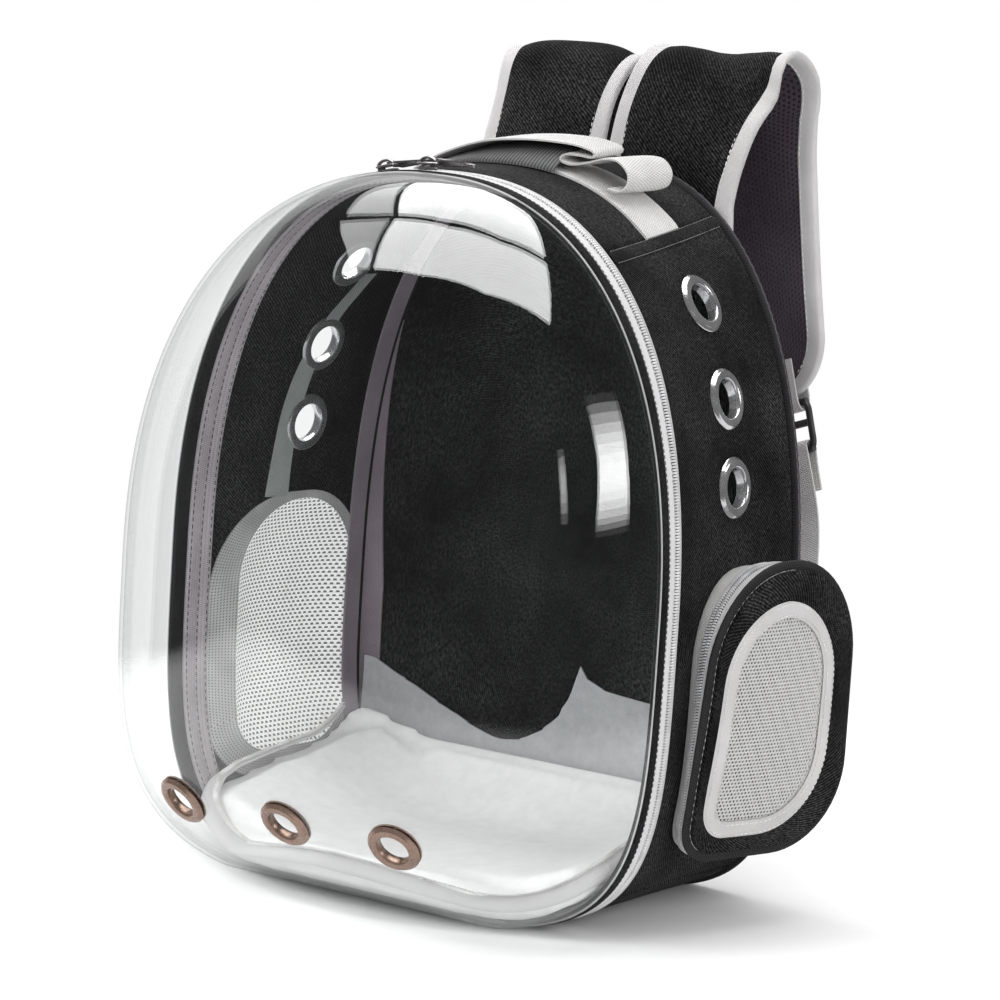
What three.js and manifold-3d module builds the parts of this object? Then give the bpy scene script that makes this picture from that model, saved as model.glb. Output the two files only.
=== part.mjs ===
// Bubble pet carrier backpack: a clear domed shell on a zip ring, with a soft fabric body behind it.
// Millimetres, +Z up. The shell faces -Y and the wearer's side +Y. The origin is the middle of the
// flat underside, on the surface that the carrier stands on.
import * as THREE from 'three';
import { mergeVertices } from 'three/addons/utils/BufferGeometryUtils.js';
import Module from 'manifold-3d';

const wasm = await Module();
wasm.setup();

// Body outline, seen from the front, at the zip ring and at the back panel
const ringHalfWidth = 168;
const ringHeight = 401;
const ringWidestAt = 174;
const ringTopPower = 2.31;
const backHalfWidth = 153;
const backHeight = 409;
const backWidestAt = 145;
const backTopPower = 2.43;
const bottomPower = 3.95;
const flattenedBelow = 4;

// Body depth, from the zip ring's front edge to the back panel's outer face
const bodyDepth = 166;
const sideSag = 6;
const topSag = 3;
const fabricWall = 2.4;
const backPadThickness = 6;
const pipingWidth = 4;
const pipingProud = 1.8;

// Clearances
const gap = 0.3;
const seatGap = 0.5;

// Clear shell
const shellDepth = 135;
const shellFocusHeight = 189;
const shellWall = 2;

// Zip ring, front to back
const edgeLineWidth = 1.4;
const doorBindingWidth = 6.5;
const frontTapeWidth = 7.5;
const coilWidth = 5.6;
const rearTapeWidth = 2.8;
const ringWall = 3;
const coilProud = 0.9;

// Top gusset: its seam with the side panels climbs from front to back
const seamAngleFront = 54.5;
const seamAngleBack = 62;
const floorSeamAngle = 48;

// Webbing along the top, and the grab handle folded on it
const webbingWidth = 38;
const webbingThickness = 1.8;
const webbingMiddle = 9;
const handleRise = 15;

// Ventilation eyelets
const sideEyeletMiddle = 9;
const sideEyeletDrops = [66.5, 116.5, 164];
const sideEyeletRadius = 17;
const sideEyeletBore = 11;
const shellEyeletSpacing = 72.5;
const shellEyeletHeight = 54;
const shellEyeletRadius = 15.2;
const shellEyeletBore = 9.2;
const eyeletTube = 1.4;
const eyeletRim = 1.7;

// Side pockets: the opening in the side panel, the outer face, and the mesh window in it
const pocketReach = { frontBottom: 13, rearBottom: 43, rearTop: 43, frontTop: 30 };
const pocketBase = { front: -37, rear: 65, bottom: 47, top: 198 };
const pocketFace = { front: -42, rear: 73, bottom: 43, top: 205 };
const pocketBaseRadii = { frontBottom: 22, rearBottom: 42, rearTop: 50, frontTop: 50 };
const pocketFaceRadii = { frontBottom: 20, rearBottom: 50, rearTop: 56, frontTop: 54 };
const windowInset = { front: 8, rear: 22, bottom: 12, top: 20 };
const windowRadii = { frontBottom: 18, rearBottom: 46, rearTop: 44, frontTop: 44 };
const pocketWall = 1.6;
const pocketSeat = 0.8;
const pocketHem = 6;
const pocketPiping = 3.6;
const pocketPipingProud = 1.2;
const faceThickness = 2;
const faceCrown = 5;
const windowBinding = 9;
const windowBindingThickness = 1.4;
const meshThickness = 1.4;
const pocketBands = { wall: 0.36, coil: 0.64, tape: 0.85, piping: 1.0 };

// Shoulder straps
const strapHalfSpacing = 46;
const strapWidth = 88;
const strapEndWidth = 70;
const strapThickness = 7;
const strapEdge = 4.4;
const strapBindingWidth = 11;
const strapRise = 59;
const strapReach = 54;
const strapDrop = 132;
const strapSplay = 58;
const strapRootBelow = 62;

// Lower webbing with its adjuster, hung from the strap's end by a tab of the same webbing
const lowerWebWidth = 25;
const lowerWebThickness = 1.6;
const lowerWebTail = 24;
const tabLength = 22;
const adjusterWidth = 34;
const adjusterHeight = 30;
const adjusterThickness = 4;
const adjusterBar = 4.5;
const anchorOut = 127;
const anchorHeight = 40;

// Floor pad
const floorPadInset = 19;
const floorPadMiddle = 16;
const floorPadEdge = 3.5;
const floorPadNose = 52;
const floorPadLip = 97;
const floorPadLift = 2.6;
const floorPadClearance = 6;

// Zip sliders and pulls
const sliderLength = 13;
const sliderNose = 4;
const sliderWidth = 8;
const sliderHeight = 4.5;
const pullLength = 26;
const pullWidth = 6;
const pullThickness = 1.5;
const pullSlot = 2.4;
const sliderFacets = [12, 11];

// Seam tape up the inner corners of the back
const seamTapeWidth = 14;
const seamTapeThickness = 1;

// Facets
const outlineSteps = 44;
const shellSteps = 40;
const shellRows = 6;
const cornerSteps = 3;
const eyeletSides = 10;

const frontY = -bodyDepth / 2;
const backY = bodyDepth / 2;
const lerp = THREE.MathUtils.lerp;
const clamp = THREE.MathUtils.clamp;
const radians = THREE.MathUtils.degToRad;
const vec = (x, y, z) => new THREE.Vector3(x, y, z);

const materials = {
  twill: new THREE.MeshStandardMaterial({ color: 0x1a1a1c, roughness: 0.9 }),
  trim: new THREE.MeshStandardMaterial({ color: 0xd9d7d6, roughness: 0.85 }),
  tape: new THREE.MeshStandardMaterial({ color: 0xb9b8ba, roughness: 0.8 }),
  coil: new THREE.MeshStandardMaterial({ color: 0x9fa0a2, roughness: 0.45 }),
  clear: new THREE.MeshStandardMaterial({ color: 0xf2f6f7, roughness: 0.05, transparent: true, opacity: 0.25 }),
  bronze: new THREE.MeshStandardMaterial({ color: 0x6b4a38, roughness: 0.3, metalness: 1 }),
  steel: new THREE.MeshStandardMaterial({ color: 0x8f9092, roughness: 0.25, metalness: 1 }),
  mesh: new THREE.MeshStandardMaterial({ color: 0xe4e2e0, roughness: 0.8 }),
  airMesh: new THREE.MeshStandardMaterial({ color: 0x1c161d, roughness: 0.9 }),
  plush: new THREE.MeshStandardMaterial({ color: 0xf0efee, roughness: 0.95 }),
  plastic: new THREE.MeshStandardMaterial({ color: 0x17171a, roughness: 0.4 }),
};

const carrier = new THREE.Group();

function addPiece(name, geometry, material) {
  const piece = new THREE.Mesh(geometry, material);
  piece.name = name;
  carrier.add(piece);
  return piece;
}

// Closed geometry from shared points: no zero-area faces, and every face pointing out
function closedGeometry(positions, faces) {
  const loose = new THREE.BufferGeometry();
  loose.setAttribute('position', new THREE.Float32BufferAttribute(positions, 3));
  loose.setIndex(faces);
  const merged = mergeVertices(loose, 1e-4);
  const corners = merged.index.array;
  const points = merged.attributes.position;
  const a = vec(0, 0, 0);
  const b = vec(0, 0, 0);
  const c = vec(0, 0, 0);
  const kept = [];
  let volume = 0;
  for (let i = 0; i < corners.length; i += 3) {
    const [p, q, r] = [corners[i], corners[i + 1], corners[i + 2]];
    if (p === q || q === r || p === r) continue;
    kept.push(p, q, r);
    a.fromBufferAttribute(points, p);
    b.fromBufferAttribute(points, q);
    c.fromBufferAttribute(points, r);
    volume += a.dot(b.cross(c));
  }
  if (volume < 0) kept.reverse();
  merged.setIndex(kept);
  merged.computeVertexNormals();
  return merged;
}

function solidOf(geometry) {
  const points = geometry.attributes.position;
  const faces = geometry.index ? geometry.index.array : points.array.filter((_, i) => i % 3 === 0).map((_, i) => i);
  return closedGeometry(Array.from(points.array), Array.from(faces));
}

// A sheet with thickness. outer and inner hold rows of points, outer[i][j] facing inner[i][j];
// a closed sheet joins its last row to its first.
function sheetSolid(outer, inner, closed) {
  const rows = outer.length;
  const columns = outer[0].length;
  const positions = [];
  for (const point of [...outer.flat(), ...inner.flat()]) positions.push(point.x, point.y, point.z);
  const out = (i, j) => (i % rows) * columns + j;
  const into = (i, j) => (rows + (i % rows)) * columns + j;
  const faces = [];
  const quad = (a, b, c, d) => faces.push(a, b, c, a, c, d);
  const spans = closed ? rows : rows - 1;
  const last = columns - 1;
  for (let i = 0; i < spans; i++) {
    for (let j = 0; j < last; j++) {
      quad(out(i, j), out(i + 1, j), out(i + 1, j + 1), out(i, j + 1));
      quad(into(i, j), into(i, j + 1), into(i + 1, j + 1), into(i + 1, j));
    }
    quad(out(i, 0), into(i, 0), into(i + 1, 0), out(i + 1, 0));
    quad(out(i, last), out(i + 1, last), into(i + 1, last), into(i, last));
  }
  if (!closed) {
    for (let j = 0; j < last; j++) {
      quad(out(0, j), out(0, j + 1), into(0, j + 1), into(0, j));
      quad(out(rows - 1, j), into(rows - 1, j), into(rows - 1, j + 1), out(rows - 1, j + 1));
    }
  }
  return closedGeometry(positions, faces);
}

function toManifold(geometry) {
  const plain = geometry.clone();
  plain.deleteAttribute('normal');
  plain.deleteAttribute('uv');
  const merged = mergeVertices(plain, 1e-4);
  return new wasm.Manifold(new wasm.Mesh({
    numProp: 3,
    vertProperties: new Float32Array(merged.attributes.position.array),
    triVerts: new Uint32Array(merged.index.array),
  }));
}

function fromManifold(solid) {
  const mesh = solid.getMesh();
  return closedGeometry(Array.from(mesh.vertProperties), Array.from(mesh.triVerts));
}

function cutAway(geometry, tools) {
  return fromManifold(tools.reduce((solid, tool) => solid.subtract(toManifold(tool)), toManifold(geometry)));
}

const share = (count, make) => Array.from({ length: count + 1 }, (_, i) => make(i / count));
const ringAngles = Array.from({ length: outlineSteps }, (_, i) => (2 * Math.PI * i) / outlineSteps);

// Outline sizes at a depth y, and the point of the outline at an angle; grow moves it outwards
function outlineAt(y) {
  const back = (y - frontY) / bodyDepth;
  return {
    half: lerp(ringHalfWidth, backHalfWidth, back),
    top: lerp(ringHeight, backHeight, back),
    widest: lerp(ringWidestAt, backWidestAt, back),
    topPower: lerp(ringTopPower, backTopPower, back),
    bow: Math.sin(Math.PI * clamp(back, 0, 1)),
  };
}

function bodyPoint(y, angle, grow) {
  const size = outlineAt(y);
  const above = Math.sin(angle) > 0;
  const power = 2 / (above ? size.topPower : bottomPower);
  const across = Math.sign(Math.cos(angle)) * Math.abs(Math.cos(angle)) ** power;
  const up = Math.sign(Math.sin(angle)) * Math.abs(Math.sin(angle)) ** power;
  const x = across * (size.half + grow - sideSag * size.bow * across ** 4);
  const reach = above
    ? size.top - size.widest + grow - topSag * size.bow * up ** 4
    : size.widest + flattenedBelow + grow;
  return vec(x, y, Math.max(size.widest + up * reach, -grow, 0));
}

// The outer face of the side at a depth and height, as a distance from the middle plane
function sideReach(y, z) {
  const size = outlineAt(y);
  const up = clamp(Math.abs((z - size.widest) / (size.top - size.widest)), 0, 1);
  const across = (1 - up ** size.topPower) ** (1 / size.topPower);
  const low = clamp((size.widest - z) / (size.widest + flattenedBelow), 0, 1);
  const lowAcross = (1 - low ** bottomPower) ** (1 / bottomPower);
  const part = z > size.widest ? across : lowAcross;
  return part * (size.half - sideSag * size.bow * part ** 4);
}

function ringBand(yStart, yEnd, growOuter, growInner) {
  const rows = (grow) => ringAngles.map((angle) => [bodyPoint(yStart, angle, grow), bodyPoint(yEnd, angle, grow)]);
  return sheetSolid(rows(growOuter), rows(growInner), true);
}

// Part of the body wall between two angles that may change with depth
function bodyPatch(angleFrom, angleTo, columns, yStart, yEnd, rows, growOuter, growInner) {
  const grid = (grow) => share(columns, (a) => share(rows, (b) => {
    const y = lerp(yStart, yEnd, b);
    return bodyPoint(y, lerp(angleFrom(y), angleTo(y), a), grow);
  }));
  return sheetSolid(grid(growOuter), grid(growInner), false);
}

// Zip ring between the shell and the fabric
let cursor = frontY + gap;
function nextBand(name, width, proud, material) {
  addPiece(name, ringBand(cursor, cursor + width, proud, -ringWall), material);
  cursor += width + gap;
}
nextBand('shell_edge_line', edgeLineWidth, 0.4, materials.steel);
nextBand('door_binding', doorBindingWidth, 0, materials.twill);
nextBand('zip_tape_front', frontTapeWidth, 0, materials.tape);
nextBand('zip_coil', coilWidth, coilProud, materials.coil);
const coilMiddleY = cursor - gap - coilWidth / 2;
nextBand('zip_tape_rear', rearTapeWidth, 0.4, materials.trim);

// Fabric walls behind the ring
const wallFront = cursor;
const padFront = backY - backPadThickness;
const pipingFront = padFront - gap - pipingWidth;
const wallBack = pipingFront - gap;
const seamSlit = gap / ringHalfWidth;
const seamAngle = (y) => radians(lerp(seamAngleFront, seamAngleBack, (y - frontY) / bodyDepth));
const floorAngle = radians(floorSeamAngle);
const gussetColumns = 12;
const sideColumns = 12;
const wallRows = 6;

addPiece('top_gusset', bodyPatch(
  (y) => seamAngle(y) + seamSlit, (y) => Math.PI - seamAngle(y) - seamSlit,
  gussetColumns, wallFront, wallBack, wallRows, 0, -fabricWall,
), materials.twill);
addPiece('bottom_panel', bodyPatch(
  () => -Math.PI + floorAngle + seamSlit, () => -floorAngle - seamSlit,
  sideColumns, wallFront, wallBack, wallRows, 0, -fabricWall,
), materials.twill);

// Side panels, cut for the eyelets and for the way into the pocket
const sideBlank = bodyPatch(
  () => -floorAngle, (y) => seamAngle(y),
  sideColumns, wallFront, wallBack, wallRows, 0, -fabricWall,
);

function sideNormal(y, z) {
  const step = 4;
  const alongY = vec(sideReach(y + step, z) - sideReach(y - step, z), 2 * step, 0);
  const alongZ = vec(sideReach(y, z + step) - sideReach(y, z - step), 0, 2 * step);
  return alongY.cross(alongZ).normalize();
}

function cylinderAlong(centre, normal, radius, length) {
  const tool = new THREE.CylinderGeometry(radius, radius, length, eyeletSides);
  tool.applyQuaternion(new THREE.Quaternion().setFromUnitVectors(vec(0, 1, 0), normal));
  tool.translate(centre.x, centre.y, centre.z);
  return tool;
}

// Each eyelet hangs a drop below the top of the body
const sideEyelets = sideEyeletDrops.map((drop) => {
  const height = outlineAt(sideEyeletMiddle).top - drop;
  return {
    centre: vec(sideReach(sideEyeletMiddle, height), sideEyeletMiddle, height),
    normal: sideNormal(sideEyeletMiddle, height),
  };
});

// A closed outline of two upright and two level edges with round corners, as [y, z] points
function roundedOutline(box, radii, inset) {
  const corners = [
    { y: box.front, z: box.bottom, toY: 1, toZ: 1, radius: radii.frontBottom, start: 180 },
    { y: box.rear, z: box.bottom, toY: -1, toZ: 1, radius: radii.rearBottom, start: 270 },
    { y: box.rear, z: box.top, toY: -1, toZ: -1, radius: radii.rearTop, start: 0 },
    { y: box.front, z: box.top, toY: 1, toZ: -1, radius: radii.frontTop, start: 90 },
  ];
  const bends = corners.map(({ y, z, toY, toZ, radius, start }) => share(cornerSteps, (turn) => {
    const angle = radians(start + 90 * turn);
    const reach = radius - inset;
    return [y + toY * radius + reach * Math.cos(angle), z + toZ * radius + reach * Math.sin(angle)];
  }));
  return bends.flatMap((bend, i) => {
    const [lastY, lastZ] = bend[cornerSteps];
    const [nextY, nextZ] = bends[(i + 1) % bends.length][0];
    return [...bend, [(lastY + nextY) / 2, (lastZ + nextZ) / 2]];
  });
}

const baseOutline = (inset) => roundedOutline(pocketBase, pocketBaseRadii, inset);
const faceOutline = (inset) => roundedOutline(pocketFace, pocketFaceRadii, inset);

// Prism of an outline of [y, z] points, between two distances from the middle plane
function prism(outline, xStart, xEnd) {
  const shape = new THREE.Shape(outline.map(([y, z]) => new THREE.Vector2(y, z)));
  const solid = new THREE.ExtrudeGeometry(shape, { depth: xEnd - xStart, bevelEnabled: false });
  const turn = new THREE.Matrix4().makeBasis(vec(0, 1, 0), vec(0, 0, 1), vec(1, 0, 0));
  solid.applyMatrix4(turn);
  solid.translate(xStart, 0, 0);
  return solid;
}

const boreTools = sideEyelets.map(({ centre, normal }) => cylinderAlong(
  centre, normal, sideEyeletBore + eyeletTube + 2 * gap, 10 * fabricWall,
));
const pocketOpening = prism(baseOutline(pocketHem), ringHalfWidth / 2, 2 * ringHalfWidth);
const sidePanel = cutAway(sideBlank, [...boreTools, pocketOpening]);

function mirrored(geometry) {
  const copy = geometry.clone();
  copy.scale(-1, 1, 1);
  return solidOf(copy);
}

function addPair(name, geometry, material) {
  addPiece(`${name}_right`, geometry, material);
  addPiece(`${name}_left`, mirrored(geometry), material);
}
addPair('side_panel', sidePanel, materials.twill);

// How high the faces of a piece stand around a bore, along the bore's axis
function heightsAround(geometry, centre, normal, radius) {
  const probe = new THREE.Mesh(geometry, new THREE.MeshBasicMaterial({ side: THREE.DoubleSide }));
  const side = vec(0, 0, 1).cross(normal).normalize();
  const up = normal.clone().cross(side);
  const caster = new THREE.Raycaster();
  const far = 20;
  const heights = share(eyeletSides, (turn) => {
    const angle = 2 * Math.PI * turn;
    const from = centre.clone()
      .addScaledVector(side, radius * Math.cos(angle))
      .addScaledVector(up, radius * Math.sin(angle))
      .addScaledVector(normal, far);
    caster.set(from, normal.clone().negate());
    caster.far = 2 * far;
    return caster.intersectObject(probe).map((hit) => far - hit.distance);
  }).flat();
  return { high: Math.max(...heights), low: Math.min(...heights) };
}

// A two-part eyelet seated on both faces of its wall
function eyelet(carrierPiece, centre, normal, flange, bore) {
  const tube = bore + eyeletTube;
  const rim = heightsAround(carrierPiece, centre, normal, flange);
  const root = heightsAround(carrierPiece, centre, normal, tube + 2 * gap);
  const high = Math.max(rim.high, root.high) + gap;
  const low = Math.min(rim.low, root.low) - gap;
  const profile = [
    [bore, low - eyeletRim], [flange, low - eyeletRim / 2], [flange, low], [tube, low],
    [tube, high], [flange, high], [flange - eyeletRim, high + eyeletRim], [bore, high + eyeletRim],
    [bore, low - eyeletRim],
  ];
  const ring = new THREE.LatheGeometry(profile.map(([r, h]) => new THREE.Vector2(r, h)), eyeletSides);
  ring.applyQuaternion(new THREE.Quaternion().setFromUnitVectors(vec(0, 1, 0), normal));
  ring.translate(centre.x, centre.y, centre.z);
  return solidOf(ring);
}

sideEyelets.forEach(({ centre, normal }, i) => {
  addPair(`side_eyelet_${i + 1}`, eyelet(sidePanel, centre, normal, sideEyeletRadius, sideEyeletBore), materials.steel);
});

// Back panel and the piping round its edge
addPiece('back_piping', ringBand(pipingFront, pipingFront + pipingWidth, pipingProud, -fabricWall), materials.twill);
const backOutline = ringAngles.map((angle) => bodyPoint(backY, angle, 0));
const backCentre = vec(0, backY, backHeight / 2);
const backFace = (y) => backOutline.map((p) => [vec(p.x, y, p.z), vec(backCentre.x, y, backCentre.z)]);
addPiece('back_panel', sheetSolid(backFace(backY), backFace(padFront), true), materials.airMesh);

// Clear shell: the outline of the ring drawn in to a point along an ellipse
function shellPoint(angle, turn, grow) {
  const rim = bodyPoint(frontY, angle, grow);
  const shrink = Math.cos(turn);
  return vec(
    rim.x * shrink,
    frontY - (shellDepth + grow) * Math.sin(turn),
    shellFocusHeight + (rim.z - shellFocusHeight) * shrink,
  );
}
const shellAngles = Array.from({ length: shellSteps }, (_, i) => (2 * Math.PI * i) / shellSteps);
const shellGrid = (grow) => shellAngles.map((angle) => share(shellRows, (row) => (
  shellPoint(angle, (Math.PI / 2) * row, grow)
)));
const shellBlank = sheetSolid(shellGrid(0), shellGrid(-shellWall), true);

// Where a level line at x, z meets the shell, and the way that the shell faces around it
function shellHit(x, z) {
  const probe = new THREE.Mesh(shellBlank, new THREE.MeshBasicMaterial({ side: THREE.DoubleSide }));
  const hitAt = (toX, toZ) => {
    const caster = new THREE.Raycaster(vec(x + toX, frontY - 2 * shellDepth, z + toZ), vec(0, 1, 0));
    return caster.intersectObject(probe)[0].point;
  };
  const reach = shellEyeletRadius;
  const alongX = hitAt(reach, 0).sub(hitAt(-reach, 0));
  const alongZ = hitAt(0, reach).sub(hitAt(0, -reach));
  return { centre: hitAt(0, 0), normal: alongX.cross(alongZ).normalize() };
}
const shellEyelets = [-1, 0, 1].map((side) => shellHit(side * shellEyeletSpacing, shellEyeletHeight));
const shellBores = shellEyelets.map(({ centre, normal }) => cylinderAlong(
  centre, normal, shellEyeletBore + eyeletTube + 2 * gap, 12 * shellWall,
));
const shell = cutAway(shellBlank, shellBores);
addPiece('clear_shell', shell, materials.clear);
['left', 'middle', 'right'].forEach((place, i) => {
  const { centre, normal } = shellEyelets[i];
  addPiece(`shell_eyelet_${place}`, eyelet(shell, centre, normal, shellEyeletRadius, shellEyeletBore), materials.bronze);
});

// Side pockets. The face stands off the side panel by a reach given at its four corners.
const pocketPlane = sideReach((pocketFace.front + pocketFace.rear) / 2, (pocketFace.bottom + pocketFace.top) / 2);

// A depth share of 0 lies on the side panel and 1 at the rim of the outer face.
function faceReach(y, z) {
  const along = (y - pocketFace.front) / (pocketFace.rear - pocketFace.front);
  const up = (z - pocketFace.bottom) / (pocketFace.top - pocketFace.bottom);
  const low = lerp(pocketReach.frontBottom, pocketReach.rearBottom, along);
  const high = lerp(pocketReach.frontTop, pocketReach.rearTop, along);
  const away = (2 * along - 1) ** 2 + (2 * up - 1) ** 2;
  return pocketPlane + lerp(low, high, up) + faceCrown * (1 - Math.min(away, 1));
}

function pocketLoop(depth, inset) {
  const base = baseOutline(inset);
  const rim = faceOutline(inset);
  return base.map(([y, z], i) => {
    const foot = vec(sideReach(y, z) + pocketSeat, y, z);
    const [rimY, rimZ] = rim[i];
    const plane = faceReach(rimY, rimZ) - faceThickness;
    return foot.lerp(vec(plane, rimY, rimZ), depth);
  });
}

function pocketBand(from, to, steps, proud, wall) {
  const loops = (inset) => share(steps, (part) => pocketLoop(lerp(from, to, part), inset));
  const turn = (rows) => rows[0].map((_, i) => rows.map((row) => row[i]));
  return sheetSolid(turn(loops(-proud)), turn(loops(wall)), true);
}
const slit = gap / pocketReach.frontBottom;
addPair('pocket_wall', pocketBand(0, pocketBands.wall, 1, 0, pocketWall), materials.trim);
addPair('pocket_coil', pocketBand(pocketBands.wall + slit, pocketBands.coil, 1, coilProud, pocketWall), materials.coil);
addPair('pocket_tape', pocketBand(pocketBands.coil + slit, pocketBands.tape, 1, 0, pocketWall), materials.trim);
addPair('pocket_piping', pocketBand(
  pocketBands.tape + slit, pocketBands.piping, 1, pocketPipingProud, pocketPiping,
), materials.twill);

// Outer face: a crowned ring of fabric, the mesh in its window, and the binding over their joint
const windowBox = {
  front: pocketFace.front + windowInset.front,
  rear: pocketFace.rear - windowInset.rear,
  bottom: pocketFace.bottom + windowInset.bottom,
  top: pocketFace.top - windowInset.top,
};
const windowOutline = (inset) => roundedOutline(windowBox, windowRadii, inset);
const onFace = (lift) => ([y, z]) => vec(faceReach(y, z) + lift, y, z);

function faceRing(outerLoop, innerLoop, steps, top, bottom) {
  const rows = (lift) => outerLoop.map(([y, z], i) => share(steps, (part) => (
    onFace(lift)([lerp(y, innerLoop[i][0], part), lerp(z, innerLoop[i][1], part)])
  )));
  return sheetSolid(rows(top), rows(bottom), true);
}
const faceRim = faceOutline(pocketPiping + gap);
const faceHole = windowOutline(windowBinding / 2);
addPair('pocket_face', faceRing(faceRim, faceHole, 1, 0, -faceThickness), materials.twill);

// A thin crowned pane inside a rim, in fans from its middle
function paneSolid(rim) {
  const count = rim.length;
  const middle = [(windowBox.front + windowBox.rear) / 2, (windowBox.bottom + windowBox.top) / 2];
  const points = [...rim.map(onFace(-gap)), ...rim.map(onFace(-gap - meshThickness))];
  points.push(onFace(-gap)(middle), onFace(-gap - meshThickness)(middle));
  const faces = [];
  for (let i = 0; i < count; i++) {
    const [a, b] = [i, (i + 1) % count];
    faces.push(a, b, count + b, a, count + b, count + a);
    faces.push(2 * count, b, a, 2 * count + 1, count + a, count + b);
  }
  return closedGeometry(points.flatMap((point) => point.toArray()), faces);
}
const meshRim = windowOutline(windowBinding / 2 + gap);
addPair('pocket_mesh', paneSolid(meshRim), materials.mesh);
addPair('window_binding', faceRing(
  windowOutline(0), windowOutline(windowBinding), 1, seatGap + windowBindingThickness, seatGap,
), materials.trim);

// Flat webbing over the top gusset, from seam to seam
addPiece('top_webbing', bodyPatch(
  (y) => seamAngle(y) + seamSlit, (y) => Math.PI - seamAngle(y) - seamSlit, gussetColumns,
  webbingMiddle - webbingWidth / 2, webbingMiddle + webbingWidth / 2, 1, seatGap + webbingThickness, seatGap,
), materials.trim);

// A ribbon: centre points with a width direction and half width each, and out where its face is set
function ribbon(stations, thicknessAt, columns) {
  const last = stations.length - 1;
  const face = (sign) => stations.map(({ point, across, half, out }, i) => {
    const before = stations[Math.max(i - 1, 0)].point;
    const after = stations[Math.min(i + 1, last)].point;
    const normal = out ?? across.clone().cross(after.clone().sub(before)).normalize();
    return share(columns, (part) => {
      const offset = lerp(-1, 1, part);
      return point.clone()
        .addScaledVector(across, offset * half)
        .addScaledVector(normal, (sign * thicknessAt(offset)) / 2);
    });
  });
  return sheetSolid(face(1), face(-1), false);
}
const evenThickness = (thickness) => () => thickness;

// Grab handle: up from the webbing, over, and folded back on itself in two hairpins.
// along and height are in shares of the handle's half length and rise; back is a shift along +Y.
const handleHalf = 66;
const handleFold = [
  { along: -1.0, height: 0.08, back: 0, turn: 0 },
  { along: -0.72, height: 0.42, back: 0, turn: 0 },
  { along: -0.3, height: 0.78, back: 1, turn: 2 },
  { along: 0.1, height: 0.95, back: 6, turn: 8 },
  { along: 0.5, height: 1.0, back: 12, turn: 14 },
  { along: 0.82, height: 0.9, back: 16, turn: 16 },
  { along: 0.9, height: 0.66, back: 16, turn: 16 },
  { along: 0.8, height: 0.46, back: 14, turn: 14 },
  { along: 0.5, height: 0.44, back: 9, turn: 10 },
  { along: 0.28, height: 0.4, back: 4, turn: 5 },
  { along: 0.2, height: 0.26, back: 2, turn: 2 },
  { along: 0.3, height: 0.12, back: 0, turn: 0 },
  { along: 0.6, height: 0.08, back: 0, turn: 0 },
  { along: 1.0, height: 0.08, back: 0, turn: 0 },
];
const webbingTop = seatGap + webbingThickness;
const handleSeat = webbingTop + seatGap + webbingThickness / 2;
function gussetHeight(x, y) {
  const size = outlineAt(y);
  const across = clamp(Math.abs(x) / size.half, 0, 1);
  const up = (1 - across ** size.topPower) ** (1 / size.topPower);
  return size.widest + up * (size.top - size.widest - topSag * size.bow * up ** 4);
}
const handleStations = handleFold.map(({ along, height, back, turn }) => {
  const [x, half] = [handleHalf * along, webbingWidth / 2];
  const slope = gussetHeight(x, webbingMiddle + half) - gussetHeight(x, webbingMiddle - half);
  return {
    point: vec(x, webbingMiddle + back, gussetHeight(x, webbingMiddle) + handleSeat + handleRise * height),
    across: vec(-Math.sin(radians(turn)), Math.cos(radians(turn)), slope / webbingWidth).normalize(),
    half,
  };
});
addPiece('grab_handle', ribbon(handleStations, evenThickness(webbingThickness), 1), materials.trim);

// Shoulder straps. back and up are in shares of the strap's reach behind the back panel and of its
// rise over the top (or its drop below it), out in shares of its splay. lean turns both straps the
// same way about the upright, in degrees, and twist turns them opposite ways.
const strapPath = [
  { back: 0.0, up: -1.0, out: 0.0, lean: 0, twist: 0 },
  { back: 0.02, up: -0.5, out: 0.0, lean: 0, twist: 0 },
  { back: 0.06, up: 0.0, out: 0.0, lean: 0, twist: 3 },
  { back: 0.2, up: 0.55, out: 0.02, lean: 2, twist: 8 },
  { back: 0.42, up: 0.9, out: 0.06, lean: 12, twist: 8 },
  { back: 0.64, up: 1.0, out: 0.1, lean: 17, twist: 7 },
  { back: 0.86, up: 0.84, out: 0.15, lean: 15, twist: 4 },
  { back: 0.98, up: 0.4, out: 0.2, lean: 9, twist: 0 },
  { back: 1.0, up: 0.0, out: 0.3, lean: 5, twist: -5 },
  { back: 0.94, up: -0.5, out: 0.64, lean: 0, twist: -10 },
  { back: 0.86, up: -1.0, out: 1.0, lean: 0, twist: -15 },
];
const strapRootY = backY + gap + strapThickness / 2;
const strapParts = [0, 0.16, 0.26, 0.33, 0.38, 0.43, 0.48, 0.53, 0.59, 0.66, 0.75, 0.87, 1];
const strapTurns = 10;

function strapPoint({ back, up, out }, index) {
  const below = index < strapPath.length / 2 ? strapRootBelow : strapDrop;
  return vec(
    strapHalfSpacing + strapSplay * out,
    strapRootY + strapReach * back,
    backHeight + (up > 0 ? strapRise : below) * up,
  );
}
const strapCurve = new THREE.CatmullRomCurve3(strapPath.map(strapPoint), false, 'centripetal');
const strapLength = strapCurve.getLength();
const turnCurve = new THREE.CatmullRomCurve3(strapPath.map(({ lean, twist }, i) => vec(lean, twist, 10 * i)));

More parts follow.
